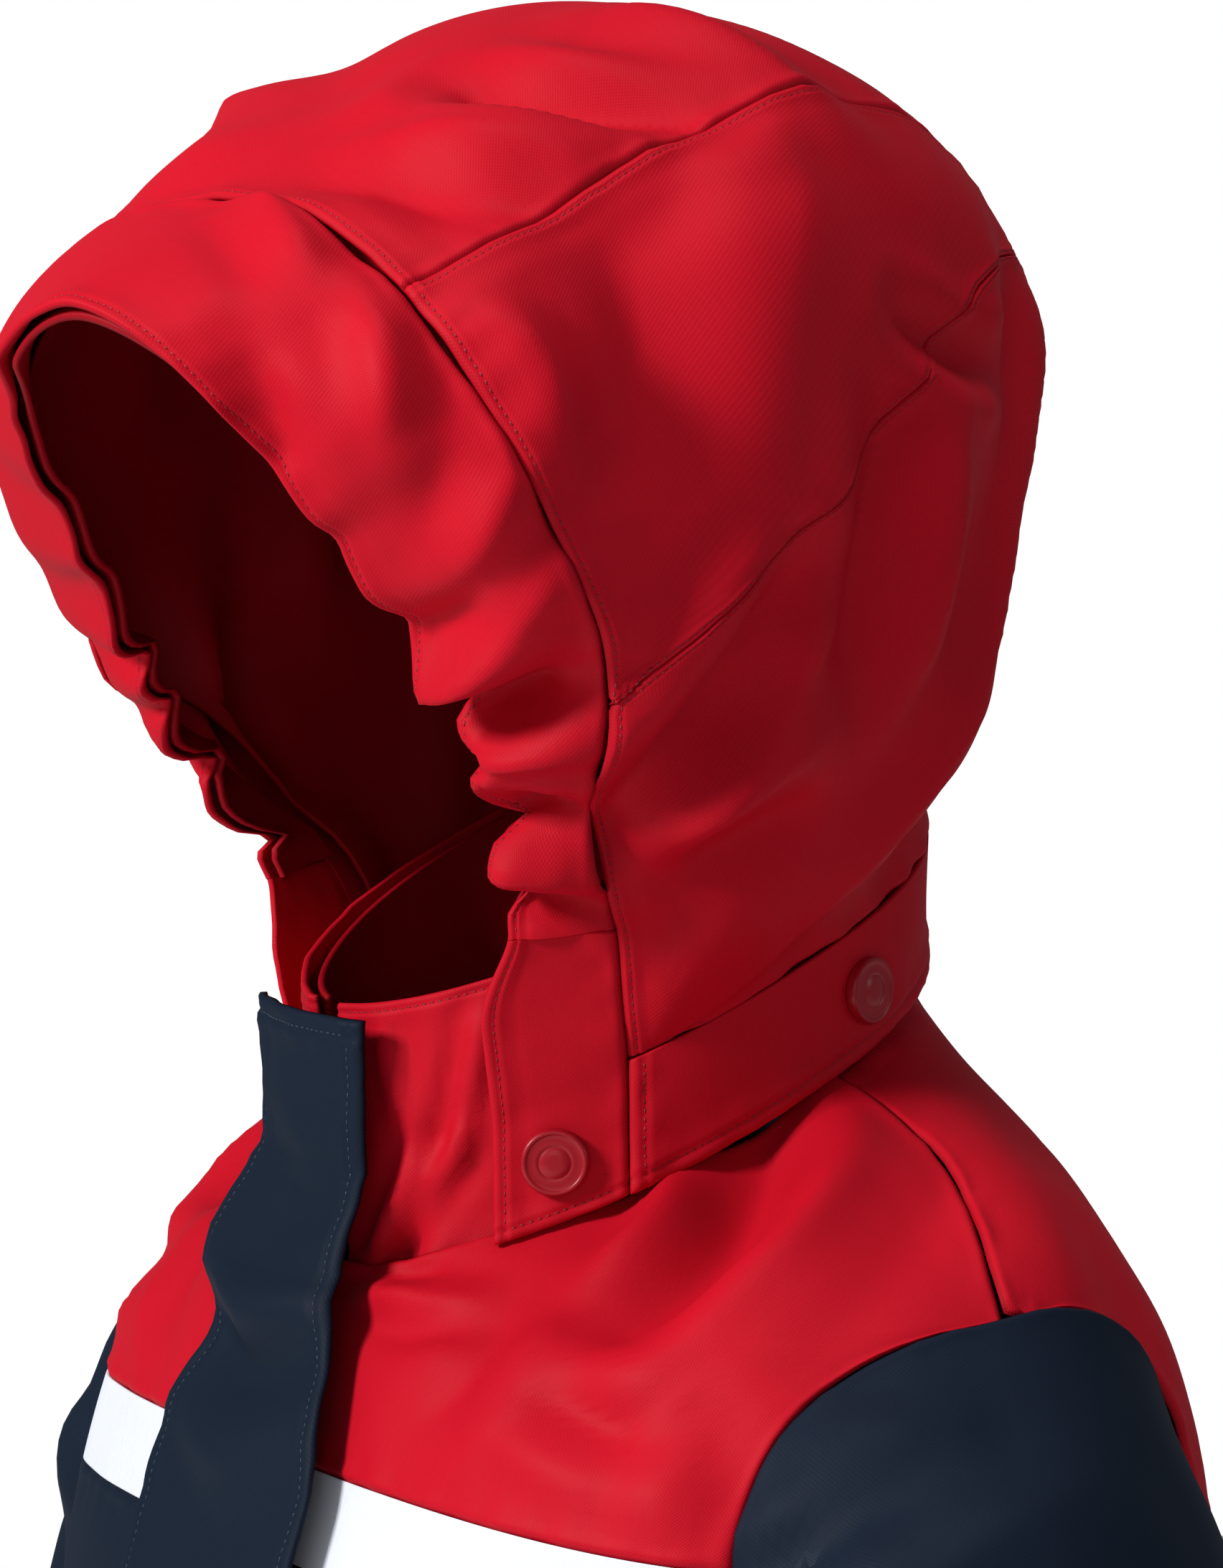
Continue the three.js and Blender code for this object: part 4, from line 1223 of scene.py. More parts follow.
HOOD_FOLDS = (
    Fold(((1.5, 6.7), (1.55, 6.25), (1.72, 5.6)), -8.5, 7),
    Fold(((1.3, 6.5), (1.38, 6.1), (1.5, 5.6)), 5.6, 8),
    Fold(((1.85, 6.6), (1.9, 6.1), (2.0, 5.5)), 5.0, 9),
    Fold(((1.46, 5.5), (1.38, 4.8), (1.28, 4.0)), -5.6, 13),
    Fold(((1.85, 5.3), (1.7, 4.6), (1.62, 3.8)), 4.7, 14),
    Fold(((1.1, 6.8), (1.2, 6.3), (1.22, 5.8)), -3.4, 7),
    Fold(((1.1, 5.3), (1.16, 4.9), (1.14, 4.5)), 4.0, 6),
    Fold(((1.04, 1.6), (1.26, 2.2), (1.5, 2.85), (1.78, 3.4)), -10.8, 7),
    Fold(((1.12, 2.2), (1.32, 2.7), (1.55, 3.3)), 5.6, 7),
    Fold(((2.1, 2.4), (1.8, 2.2), (1.45, 2.0)), 6.5, 8),
    Fold(((1.3, 1.4), (1.8, 1.6), (2.3, 2.0)), -4.0, 9),
    Fold(((2.05, 4.1), (2.1, 3.4), (2.2, 2.7)), -6.2, 9),
    Fold(((2.35, 4.1), (2.4, 3.4), (2.5, 2.6)), 4.7, 9),
    Fold(((2.05, 4.5), (2.3, 4.3), (2.6, 4.2)), -6.2, 5),
    Fold(((2.7, 4.9), (2.8, 4.0), (2.9, 3.0)), -5.0, 9),
    Fold(((3.3, 3.4), (3.8, 2.6), (4.3, 2.0)), 5.3, 9),
    Fold(((1.2, 7.6), (1.6, 8.4), (2.1, 9.2)), 5.3, 13),
    Fold(((1.35, 8.0), (1.5, 8.9), (1.4, 9.8)), -5.0, 11),
    Fold(((1.05, 12.3), (1.3, 11.6), (1.6, 10.9)), -9.3, 8),
    Fold(((1.2, 12.0), (1.7, 11.6), (2.2, 11.4)), 5.6, 8),
    Fold(((2.05, 9.9), (2.15, 10.6), (2.25, 11.4)), -5.6, 9),
    Fold(((3.3, 10.6), (3.8, 11.4), (4.3, 12.0)), 5.3, 9),
)
BRIM_FOLDS = (
    Fold(((1.0, 6.8), (0.9, 6.3), (0.8, 5.85)), 4.4, 6),
    Fold(((0.9, 5.7), (0.8, 5.25), (0.66, 4.85)), 5.6, 6),
    Fold(((0.42, 5.7), (0.26, 5.2), (0.1, 4.8)), -4.6, 6),
    Fold(((0.96, 4.5), (0.8, 4.2), (0.6, 4.0)), 4.8, 6),
    Fold(((0.05, 3.2), (0.42, 3.35), (0.9, 3.85)), 6.4, 5.5),
    Fold(((0.1, 2.86), (0.5, 3.0), (0.98, 3.3)), -5.6, 5),
    Fold(((0.16, 2.5), (0.5, 2.62), (0.95, 2.62)), 5.4, 5.5),
    Fold(((0.08, 2.0), (0.5, 2.02), (1.0, 1.9)), -6.0, 5),
    Fold(((0.08, 1.6), (0.5, 1.66), (1.0, 1.5)), 5.4, 6),
    Fold(((0.04, 1.26), (0.5, 1.28), (0.95, 1.15)), -3.6, 4.5),
)
NOTCHES = ((1.28, 7.5, 0.06), (1.9, 8.5, 0.07), (2.52, 5.5, 0.07), (2.98, 8.0, 0.09), (3.7, 3.0, 0.12),
           (4.35, 2.0, 0.12))


def gathers(grid: Layout) -> Array:
    """Relief of the brim where its elastic draws it in."""
    across = from_side(grid.b)
    total = np.zeros_like(grid.b)
    for i, (middle, depth, width) in enumerate(NOTCHES):
        slant = (0.12 if i % 2 else -0.1) * grid.a
        pinch = bell(across - middle - slant, width + 0.05 * grid.a)
        puff = bell(across - middle - 0.28 - slant, 0.18)
        total += depth * (0.42 * puff - 0.55 * pinch) * (1 - 0.75 * smooth(grid.a, 0.1, 1.0))
    return total


def fall_in(grid: Layout) -> Array:
    """Relief of the cloth below the seam behind the head, which falls in towards the neck."""
    below = smooth(grid.a, 3.05, 3.7) * (1 - smooth(grid.a, 4.3, 4.95))
    return -15.0 * below * bell(from_side(grid.b) - ACROSS / 2, 3.6)


def peak(grid: Layout) -> Array:
    """Stiff corner of the brim above the wearer's right temple."""
    back = unit(grid.guide.point(grid.a + 0.02, grid.b) - grid.guide.point(grid.a - 0.02, grid.b))
    amount = np.exp(-((np.abs(grid.b - 8.15) / 0.62) ** 1.25)) * (1 - smooth(grid.a, 0.0, 0.9))
    return (3.5 * grid.out - 7.0 * back) * amount[:, None]


def drawn_in(a: Array, across: Array) -> Array:
    """How far the gathered brim sits back from the hood's outline, with its notches."""
    draw = 8.0 * smooth(across, 0.5, 1.05) * (1 - smooth(across, 1.8, 3.8))
    for middle, depth, width in NOTCHES:
        draw = draw + depth * (0.6 * bell(across - middle, width) - 0.18 * bell(across - middle - 0.3, 0.2))
    return draw * (1 - smooth(a, 0.0, 0.75))


def scallops(grid: Layout) -> Array:
    """Steps of the gathered edge along the cloth."""
    back = grid.guide.point(grid.a + 0.02, grid.b) - grid.guide.point(grid.a - 0.02, grid.b)
    return unit(back) * drawn_in(grid.a, from_side(grid.b))[:, None] + peak(grid)


@dataclass
class HoodAssembly:
    """The hood's shell, lining and facing, its front tabs, band and volume tab."""

    shop: Workshop
    band_row: float = 3.4
    lining_depth: float = 5.0
    tab_half: float = 22.0
    tab_corner: float = 5.0

    def build(self) -> None:
        """Builds the hood."""
        shop, bend = self.shop, HOOD_BEND
        thread = StitchRow(RED_THREAD)
        Panel("brim_shell", HOOD, patch(0, 1, 1, ACROSS - 1), RED, (H, S, R_, R_), ("hood_brim",),
              BRIM_FOLDS, pitch=2.2, row=2.3, rough=0.9, seed=21, extra=gathers, shift=scallops,
              ).build(shop, bend, thread)
        Panel("brim_facing", HOOD, patch(0.03, 0.97, 1, ACROSS - 1), RED_LINING, (F, R_, R_, R_),
              ("hood_brim_facing",), BRIM_FOLDS, pitch=3, lift=-3.4, rough=0.9, seed=21, extra=gathers,
              shift=scallops).build(shop, bend)
        for name, node, start, end, edges in (
                ("crown_shell", "hood_crown_panel", CROWN, ACROSS - CROWN, (T_, T_, S, S)),
                ("side_shell_left", "hood_side_panel_left", CHEEK, CROWN, (T_, T_, R_, T_)),
                ("side_shell_right", "hood_side_panel_right", ACROSS - CROWN, ACROSS - CHEEK,
                 (T_, T_, T_, R_))):
            Panel(name, HOOD, self.between(start, end), RED, edges, (node,), HOOD_FOLDS,
                  pitch=2.4, rough=1.0, seed=22).build(shop, bend, thread)
        Panel("neck_shell", HOOD, self.behind, RED, (T_, S, R_, R_), ("hood_neck_panel",), HOOD_FOLDS,
              pitch=2.4, rough=1.0, seed=22, extra=fall_in).build(shop, bend, thread)
        Panel("hood_inside", HOOD, patch(1.02, NAPE, 0.3, ACROSS - 0.3), RED_LINING, (R_, R_, R_, R_),
              ("hood_lining",), HOOD_FOLDS, pitch=5, lift=-self.lining_depth - FABRIC, rough=1.2,
              seed=22, extra=fall_in).build(shop, bend)
        move_with(thread.build("hood_stitches", shop), bend, shop)
        self.band()
        for side_sign, word in ((1, "left"), (-1, "right")):
            self.tab(side_sign, word)
        self.volume_tab()

    @staticmethod
    def between(start: float, end: float) -> Region:
        """From the brim's seam to the seam behind the head, between two steps across."""

        def region(s: Array, t: Array) -> tuple[Array, Array]:
            b = lerp(start, end, t)
            return lerp(1.0, back_seam(b), s), b

        return region

    @staticmethod
    def behind(s: Array, t: Array) -> tuple[Array, Array]:
        """From the seam behind the head down to the band."""
        b = lerp(0.0, ACROSS, t)
        return lerp(back_seam(b), NAPE, s), b

    def band(self) -> None:
        """Builds the band round the collar."""
        thread = StitchRow(RED_THREAD)
        wavy = lambda grid: 0.7 * np.sin(grid.a / 9) * bell(grid.b - 20, 14)
        Panel("band_shell", BAND, patch(70, 290, BAND_FOOT, BAND_TOP + 1.5), RED, (T_, T_, H, R_),
              ("hood_band",), pitch=2.6, row=self.band_row, rough=0.4, seed=25, extra=wavy,
              ).build(self.shop, "jacket", thread)
        move_with(thread.build("band_stitches", self.shop), "jacket", self.shop)

    def tab(self, side: int, word: str) -> None:
        """Builds one front tab."""
        thread = StitchRow(RED_THREAD)
        edges = (H, S, H, R_) if side > 0 else (S, H, H, R_)
        bend = tab_bend(side)

        def draw(grid: Layout) -> Array:
            """The brim's draw, carried down into the tab."""
            row = grid.a if side > 0 else 1 - grid.a
            amount = np.where(grid.b > 1, drawn_in(row, np.maximum(grid.b - 1, 0)), 0)
            ahead = grid.guide.point(grid.a + 0.02, grid.b) - grid.guide.point(grid.a - 0.02, grid.b)
            return unit(ahead) * (side * amount)[:, None]

        Panel(f"front_tab_shell_{word}", FrontTab(side=side), patch(0, 1, 0, 2), RED, edges,
              (f"hood_front_tab_{word}",), pitch=2.2, row=2.6, rough=0.5, seed=27, shift=draw).build(
                  self.shop, bend, thread)
        move_with(thread.build(f"front_tab_stitches_{word}", self.shop), bend, self.shop)

    def volume_tab(self) -> None:
        """Builds the tab at the back of the head and its patch of pile."""
        Panel("loop_pile_patch", HOOD, patch(3.95, 4.35, 6.1, 7.9), RED_PILE, (F, F, F, F),
              ("hood_loop_patch",), HOOD_FOLDS, pitch=2, lift=FABRIC + 0.1, thickness=1.2, rough=1.0,
              seed=22, extra=fall_in, row=1.2, held="stretched").build(self.shop, HOOD_BEND)
        low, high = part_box("hood_volume_tab")
        middle = (np.array((low + high) / 2) - self.shop.offset) / MM
        length = (high.z - low.z) / MM
        guide = Hanging(tuple(middle), HOOD_TURN)
        thread = StitchRow(RED_THREAD)
        region = lambda s, t: guide.rounded(s, t, self.tab_half, length, self.tab_corner)
        Panel("volume_tab_outer", guide, region, RED, (H, H, H, F), ("hood_volume_tab",), pitch=2.2,
              row=2.2, lift=-0.1, rough=0.25, thickness=1.1).build(self.shop, "volume_tab", thread)
        Panel("volume_tab_inner", guide, region, RED_LINING, (F, F, F, F), (), pitch=3, row=2.2,
              lift=-0.95, rough=0.25, thickness=0.8).build(self.shop, "volume_tab")
        move_with(thread.build("volume_tab_stitches", self.shop), "volume_tab", self.shop)


@dataclass
class Hanging(Guide):
    """An upright sheet: a across in millimetres, b down from its top."""

    middle: tuple[float, float, float]
    turn: float
    reach = (0.5, 0.5)

    def point(self, a: Array, b: Array) -> Array:
        """Places on the sheet, bowed a little."""
        sin, cos = math.sin(self.turn), math.cos(self.turn)
        bow = 0.9 * np.sin(b / 24) - (a / 22) ** 2 * 0.7
        x, y, z = self.middle
        return np.stack([x - a * cos - bow * sin, y - a * sin + bow * cos, z + b], 1)

    @staticmethod
    def rounded(s: Array, t: Array, half: float, height: float, corner: float) -> tuple[Array, Array]:
        """A rectangle with its two lower corners rounded."""
        b = height * (t - 0.5)
        drop = np.clip(1 - t * height / corner, 0, 1)
        width = half - corner * (1 - np.sqrt(1 - drop**2))
        return width * (2 * s - 1), b


SLEEVE_FOLDS = (
    Fold(((20, 0.9), (60, 1.2), (110, 1.3)), -3.0, 9),
    Fold(((-10, 0.7), (50, 0.9), (100, 0.9)), 3.0, 10),
    Fold(((30, 1.7), (80, 1.9), (140, 1.8)), 3.6, 9),
    Fold(((200, 0.9), (250, 1.2), (300, 1.2)), 3.0, 10),
    Fold(((20, 2.5), (80, 2.4), (140, 2.6)), 3.4, 9),
    Fold(((200, 2.3), (260, 2.5), (330, 2.3)), 3.4, 9),
    Fold(((30, 3.2), (90, 3.3), (150, 3.1)), 3.0, 8),
    Fold(((210, 3.3), (270, 3.1), (340, 3.3)), 3.0, 8),
    Fold(((84, 0.3), (64, 0.44), (44, 0.55)), -3.4, 6),
    Fold(((66, 0.5), (60, 0.7), (64, 1.0)), -3.6, 7),
    Fold(((96, 0.3), (76, 0.5), (52, 0.62)), 3.2, 7),
    Fold(((50, 0.12), (36, 0.3), (20, 0.4)), 2.6, 8),
)


@dataclass
class SleevePair:
    """Both sleeves with their linings, cuffs and cuff tabs."""

    shop: Workshop
    cuff_tab: tuple[float, float] = (52.0, 24.0)

    def build(self) -> None:
        """Builds left and right."""
        for side, word in ((1, "left"), (-1, "right")):
            self.sleeve(side, word)

    def sleeve(self, side: int, word: str) -> None:
        """Builds one sleeve."""
        bend, mirror = arm_bend(side), side < 0
        rows = StitchRow(NAVY_THREAD)
        Panel(f"sleeve_shell_{word}", SLEEVE, patch(-180, 180, 0, CUFF_RING), NAVY, (S, S, S, S),
              (f"sleeve_{word}",), SLEEVE_FOLDS, pitch=3.4, rough=1.0, seed=31, mirror=mirror,
              ).build(self.shop, bend, rows)
        Panel(f"sleeve_inside_{word}", SLEEVE, patch(-180, 180, 0.12, 3.95), NAVY_LINING, (R_, R_, R_, R_),
              (f"sleeve_lining_{word}",), (), pitch=7, lift=-3.6, rough=0.5, seed=32, mirror=mirror,
              ).build(self.shop, bend)
        body = f"arm_{word}"
        Panel(f"cuff_shell_{word}", SLEEVE, patch(-180, 180, CUFF_RING, CUFF_RING + 1), NAVY,
              (S, S, T_, H), (f"cuff_{word}",), pitch=3, lift=-FABRIC, thickness=2 * FABRIC,
              rough=0.3, row=3.0, mirror=mirror,
              ).build(self.shop, body, rows)
        move_with(rows.build(f"cuff_stitches_{word}", self.shop), body, self.shop)
        turn = self.cuff_tab[0] / math.radians(40)
        half = self.cuff_tab[1] / CUFF_LENGTH / 2
        tab_rows = StitchRow(NAVY_THREAD)
        middle = CUFF_RING + 0.5
        Panel(f"cuff_tab_shell_{word}", SLEEVE, patch(8, 8 + turn, middle - half, middle + half), NAVY,
              (S, H, H, H), (f"cuff_tab_{word}",), pitch=2.6, lift=3.0, rough=0.2, mirror=mirror, row=1.8,
              ).build(self.shop, f"wrist_tab_{word}", tab_rows)
        move_with(tab_rows.build(f"cuff_tab_stitches_{word}", self.shop), f"wrist_tab_{word}", self.shop)


def front_line(height: Array) -> Array:
    """Depth of the jacket's centre front at each height."""
    foot = NECK_HEIGHT - 0.44 * 66
    heights = np.linspace(0, foot, 120)
    centre = np.zeros_like(heights)
    rings = solve(lambda b: TORSO.point(centre, b)[:, 2] - heights, centre, centre + NECK_RING)
    torso = np.interp(height, heights, TORSO.point(centre, rings)[:, 1])
    lean = np.maximum(height - foot, 0) / 60 * 3
    return np.where(height >= foot, -(66 + 0.6 * lean), torso)


HEIGHTS = np.linspace(0, 540, 271)
FRONT_DEPTHS = front_line(HEIGHTS)


@dataclass
class Front(Guide):
    """Centre front: a is the distance to the wearer's left, b the height."""

    bridged: bool = False
    top: float = 510.96
    reach = (0.5, 0.5)

    def rise(self, a: Array, b: Array) -> Array:
        """Level normals."""
        return np.zeros_like(b)

    def depth(self, a: Array, b: Array) -> Array:
        """Depth at each place."""
        rounding = lerp(400, 60, smooth(b, NECK_HEIGHT - 90, NECK_HEIGHT - 30))
        return np.interp(b, HEIGHTS, FRONT_DEPTHS) + a * a / (2 * rounding)

    def point(self, a: Array, b: Array) -> Array:
        """Places on the front, or on the line that bridges the foot of the collar."""
        y = self.depth(a, b)
        if self.bridged:
            ahead = [self.depth(a, np.minimum(b + step, self.top)) for step in (-24, -12, 12, 24)]
            y = np.minimum(y, (y + np.min(ahead, 0)) / 2 - 1)
        return np.stack([a, y, b], 1)


FLAP_FOLDS = (
    Fold(((-30, 300), (0, 312), (30, 306)), 3.0, 9),
    Fold(((-24, 378), (4, 366), (34, 372)), 3.6, 10),
    Fold(((-20, 408), (6, 398), (36, 404)), -2.4, 8),
    Fold(((-22, 440), (0, 430), (28, 436)), -4.2, 7),
    Fold(((-24, 458), (0, 448), (26, 452)), 4.6, 8),
    Fold(((-12, 478), (4, 470), (18, 474)), -2.6, 6),
    Fold(((-24, 180), (4, 192), (34, 184)), 2.4, 12),
    Fold(((-24, 90), (4, 80), (34, 88)), 2.4, 12),
)


def waves(grid: Layout) -> Array:
    """Sideways waves of the flap's free edge."""
    free = 1 - smooth(grid.a, -30, 10)
    chest = 4.5 * bell(grid.b - 434, 9) - 8.0 * bell(grid.b - 458, 13) + 3.0 * bell(grid.b - 486, 12)
    shift = free * (chest - 2.5 * bell(grid.b - 405, 12) + 1.6 * np.sin(grid.b / 27))
    return np.stack([shift, np.zeros_like(shift), np.zeros_like(shift)], 1)


@dataclass
class Closure:
    """The zip and the storm flap over it."""

    shop: Workshop
    flap_width: float = 45.0
    flap_spread: float = 26.0
    flap_foot: float = 18.0
    flap_top: float = 510.96
    strip_inset: float = 3.0
    strip_width: float = 10.0
    strip_foot: float = 28.0
    strip_top: float = 373.0
    tooth_pitch: float = 1.9

    def build(self) -> None:
        """Builds the closure."""
        self.flap()
        self.strips()
        self.zip()

    def outline(self, s: Array, t: Array) -> tuple[Array, Array]:
        """The flap's outline: narrow at the collar, wider below the chest."""
        height = lerp(self.flap_foot, self.flap_top, t)
        spread = self.flap_spread * (1 - smooth(height, NECK_HEIGHT - 75, NECK_HEIGHT - 15))
        half = self.flap_width / 2
        return lerp(-half - 0.2 * spread, half + 0.8 * spread, s), height

    def flap(self) -> None:
        """Builds the storm flap."""
        thread = StitchRow(NAVY_THREAD)
        Panel("flap_shell", Front(bridged=True), self.outline, NAVY, (H, T_, H, H), ("storm_flap",),
              FLAP_FOLDS, pitch=2.8, lift=FABRIC + 6, row=3.6, rough=0.7, seed=41, shift=waves,
              ).build(self.shop, FLAP_BEND, thread)
        move_with(thread.build("flap_stitches", self.shop), FLAP_BEND, self.shop)

    def strips(self) -> None:
        """Builds the touch fastening under the flap's free edge."""
        outer = self.flap_width / 2 - self.strip_inset
        inner = outer - self.strip_width
        hook = patch(-outer, -inner, self.strip_foot, self.strip_top)
        Panel("flap_hook_pile", Front(bridged=True), hook, NAVY_PILE, (F, F, F, F),
              ("flap_hook_strip",), pitch=4, lift=FABRIC + 2.8, thickness=1.2, row=1.2,
              rough=0.1, held="stretched").build(self.shop, "flap")
        near, far = UprightLine(inner), UprightLine(outer)

        def region(s: Array, t: Array) -> tuple[Array, Array]:
            b = lerp(0.1, 3.7, t)
            return lerp(near(b), far(b), s), b

        Panel("flap_loop_pile", TORSO, region, NAVY_PILE, (F, F, F, F), ("flap_loop_strip",), pitch=4,
              lift=FABRIC + 0.4, thickness=1.5, row=1.2, rough=0.1, mirror=True, held="stretched",
              ).build(self.shop, "jacket")

    def zip(self) -> None:
        """Builds tapes, coils, box, slider and pull."""
        low, top = 4.0, self.flap_top - 4
        guide = Front()
        for side, word in ((1, "left"), (-1, "right")):
            edges = sorted((side * 2.4, side * 5.4))
            Panel(f"zip_tape_cloth_{word}", guide, patch(*edges, low, top), NAVY, (F, F, F, F),
                  (f"zip_tape_{word}",), pitch=3, lift=-0.6, thickness=0.8, row=0.5, rough=0.0,
                  held="stretched").build(self.shop, "jacket")
            self.coil(side, word, low, top)
        self.box()
        self.slider()

    def coil(self, side: int, word: str, low: float, top: float) -> None:
        """Builds one row of coil teeth."""
        count = int((top - low) / self.tooth_pitch)
        z = low + self.tooth_pitch * (np.arange(count) + (0.5 if side > 0 else 1.0) * 0.9)
        y = np.interp(z, HEIGHTS, FRONT_DEPTHS)
        ring = [(0.75, 0.0), (0.5, 0.62), (-0.5, 0.62), (-0.75, 0.0), (-0.5, -0.62), (0.5, -0.62)]
        places, faces = [], []
        for k, x in enumerate((2.9, 1.6, 0.1)):
            thin = (1.0, 1.0, 0.72)[k]
            for deep, up in ring:
                places.append(np.stack([np.full(count, side * x), y + 0.4 - deep * thin, z + up * thin], 1))
        for k in range(2):
            for i in range(6):
                n = (i + 1) % 6
                faces.append((k * 6 + i, k * 6 + n, k * 6 + 6 + n, k * 6 + 6 + i))
        faces += [(0, 5, 4, 3, 2, 1), (12, 13, 14, 15, 16, 17)]
        if side < 0:
            faces = [tuple(reversed(f)) for f in faces]
        verts = np.stack(places, 1).reshape(-1, 3)
        every = [[v + 18 * i for v in face] for i in range(count) for face in faces]
        piece = self.shop.mesh(f"zip_coil_{word}", verts, every, COIL)
        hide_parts(f"zip_teeth_{word}")
        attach(piece, "jacket")

    def box(self) -> None:
        """Builds the stop box at the foot of the zip."""
        piece = self.plate("zip_stop_box", "zip_box", 3, COIL, bulge=0.4)
        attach(piece, "jacket")

    def slider(self) -> None:
        """Builds the slider and the pull that hangs from it."""
        piece = self.plate("zip_slider_body", "zip_slider", 4, BRASS, bulge=0.7, waist=0.18)
        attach(piece, "slider")
        pull = self.plate("zip_pull_tag", "zip_pull", 4, BRASS, bulge=0.1, waist=-0.12)
        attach(pull, "slider")

    def plate(self, name: str, node: str, rings: int, finish: Finish, bulge: float,
              waist: float = 0.0) -> bpy.types.Object:
        """A small rounded plate in the place of a node.

        Args:
            name: the piece's name.
            node: the node that it stands for.
            rings: steps of the rounded edge.
            finish: what it is made of.
            bulge: how far the middle of its face would crown forward; not used in the shape, since the
                middle point that it sets is left out.
            waist: how far its sides draw in at mid height, as a share.

        Returns:
            The piece.
        """
        low, high = (np.array(v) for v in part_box(node))
        low, high = (low - self.shop.offset) / MM, (high - self.shop.offset) / MM
        middle, half = (low + high) / 2, (high - low) / 2
        steps = 28
        angle = np.linspace(0, 2 * np.pi, steps, endpoint=False)
        x, z = power(np.cos(angle), 0.45), power(np.sin(angle), 0.45)
        x = x * (1 - waist * (1 - z**2))
        places, faces = [], []
        profile = [(1.0, 1.0)] + [(1 - 0.16 * (1 - math.cos(q)), 1.0 - 2.0 * math.sin(q) * 0.9)
                                  for q in np.linspace(0.2, math.pi / 2, rings)]
        profile.append((0.0, -0.8 - 0.2 * bulge))
        for share, deep in profile[:-1]:
            places.append(np.stack([middle[0] + x * half[0] * share,
                                    np.full(steps, middle[1]) + deep * half[1],
                                    middle[2] + z * half[2] * share], 1))
        places = np.concatenate(places)
        count = len(profile) - 1
        for r in range(count - 1):
            for i in range(steps):
                n = (i + 1) % steps
                faces.append((r * steps + i, (r + 1) * steps + i, (r + 1) * steps + n, r * steps + n))
        faces.append(tuple(range(steps)))
        faces.append(tuple(reversed(range((count - 1) * steps, count * steps))))
        piece = self.shop.mesh(name, places, faces, finish)
        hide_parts(node)
        return piece


@dataclass
class Pockets:
    """The flaps over both hand pockets."""

    shop: Workshop
    width: float = 92.0
    top: float = 198.0
    depth: float = 42.0

    def build(self) -> None:
        """Builds both flaps."""
        half = self.width / 2 / math.radians(157) / 0.9
        lines = [HeightLine(lambda d, z=z: np.full_like(d, z)) for z in (self.top - self.depth, self.top)]

        def region(s: Array, t: Array) -> tuple[Array, Array]:
            degrees = lerp(47 - half, 47 + half, s)
            return degrees, lerp(lines[0](degrees), lines[1](degrees), t)

        for side, word in ((1, "left"), (-1, "right")):
            thread = StitchRow(NAVY_THREAD)
            Panel(f"pocket_flap_shell_{word}", TORSO, region, NAVY, (H, H, H, T_), (f"pocket_flap_{word}",),
                  (), pitch=2.8, lift=FABRIC + 3.6, thickness=1.6, row=2.6, rough=0.3, seed=51,
                  mirror=side < 0).build(self.shop, f"pocket_{word}", thread)
            move_with(thread.build(f"pocket_stitches_{word}", self.shop), f"pocket_{word}", self.shop)


@dataclass
class Snaps:
    """The four press studs that hold the hood on."""

    shop: Workshop
    radius: float = 7.5
    height: float = 3.0
    seat: float = 18.0
    places: tuple[tuple[str, float, str], ...] = (
        ("front_left", 57.5, "front_tab_left"), ("front_right", 302.5, "front_tab_right"),
        ("rear_left", 117.0, "jacket"), ("rear_right", 243.0, "jacket"),
    )

    def build(self) -> None:
        """Builds the caps; dress_hardware gives the sockets and studs their metal."""
        r, h = self.radius, self.height
        cap = ((0.985 * r, -0.5), (r, 0.0), (r, 0.42 * h), (0.975 * r, 0.6 * h), (0.93 * r, 0.72 * h),
               (0.87 * r, 0.74 * h), (0.83 * r, 0.66 * h), (0.80 * r, 0.62 * h), (0.6 * r, 0.68 * h),
               (0.52 * r, 0.7 * h), (0.49 * r, 0.64 * h), (0.46 * r, 0.64 * h), (0.43 * r, 0.71 * h),
               (0.2 * r, 0.74 * h))
        for word, turn, body in self.places:
            piece = self.turned(f"snap_cap_shell_{word}", cap, turn, FABRIC + 0.4)
            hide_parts(f"snap_cap_{word}")
            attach(piece, body)

    def turned(self, name: str, profile: Sequence[tuple[float, float]], turn: float,
               lift: float) -> bpy.types.Object:
        """A round piece on the band.

        Args:
            name: the piece's name.
            profile: radius and height of each ring.
            turn: where it sits, in degrees round the neck.
            lift: how far its foot is outside the band's guide.

        Returns:
            The piece.
        """
        steps = 48
        a, b = np.array([turn]), np.array([self.seat])
        middle, out = BAND.point(a, b)[0], BAND.normal(a, b)[0]
        side = unit(np.cross((0, 0, 1), out))
        up = np.cross(out, side)
        angle = np.linspace(0, 2 * np.pi, steps, endpoint=False)
        spokes = np.cos(angle)[:, None] * side + np.sin(angle)[:, None] * up
        rings = [middle + (lift + h) * out + r * spokes for r, h in profile]
        verts = np.concatenate(rings)
        faces = []
        for k in range(len(profile) - 1):
            for i in range(steps):
                n = (i + 1) % steps
                faces.append((k * steps + i, k * steps + n, (k + 1) * steps + n, (k + 1) * steps + i))
        faces.append(tuple(reversed(range(steps))))
        faces.append(tuple(range((len(profile) - 1) * steps, len(profile) * steps)))
        return self.shop.mesh(name, verts, faces, RED_CAP)


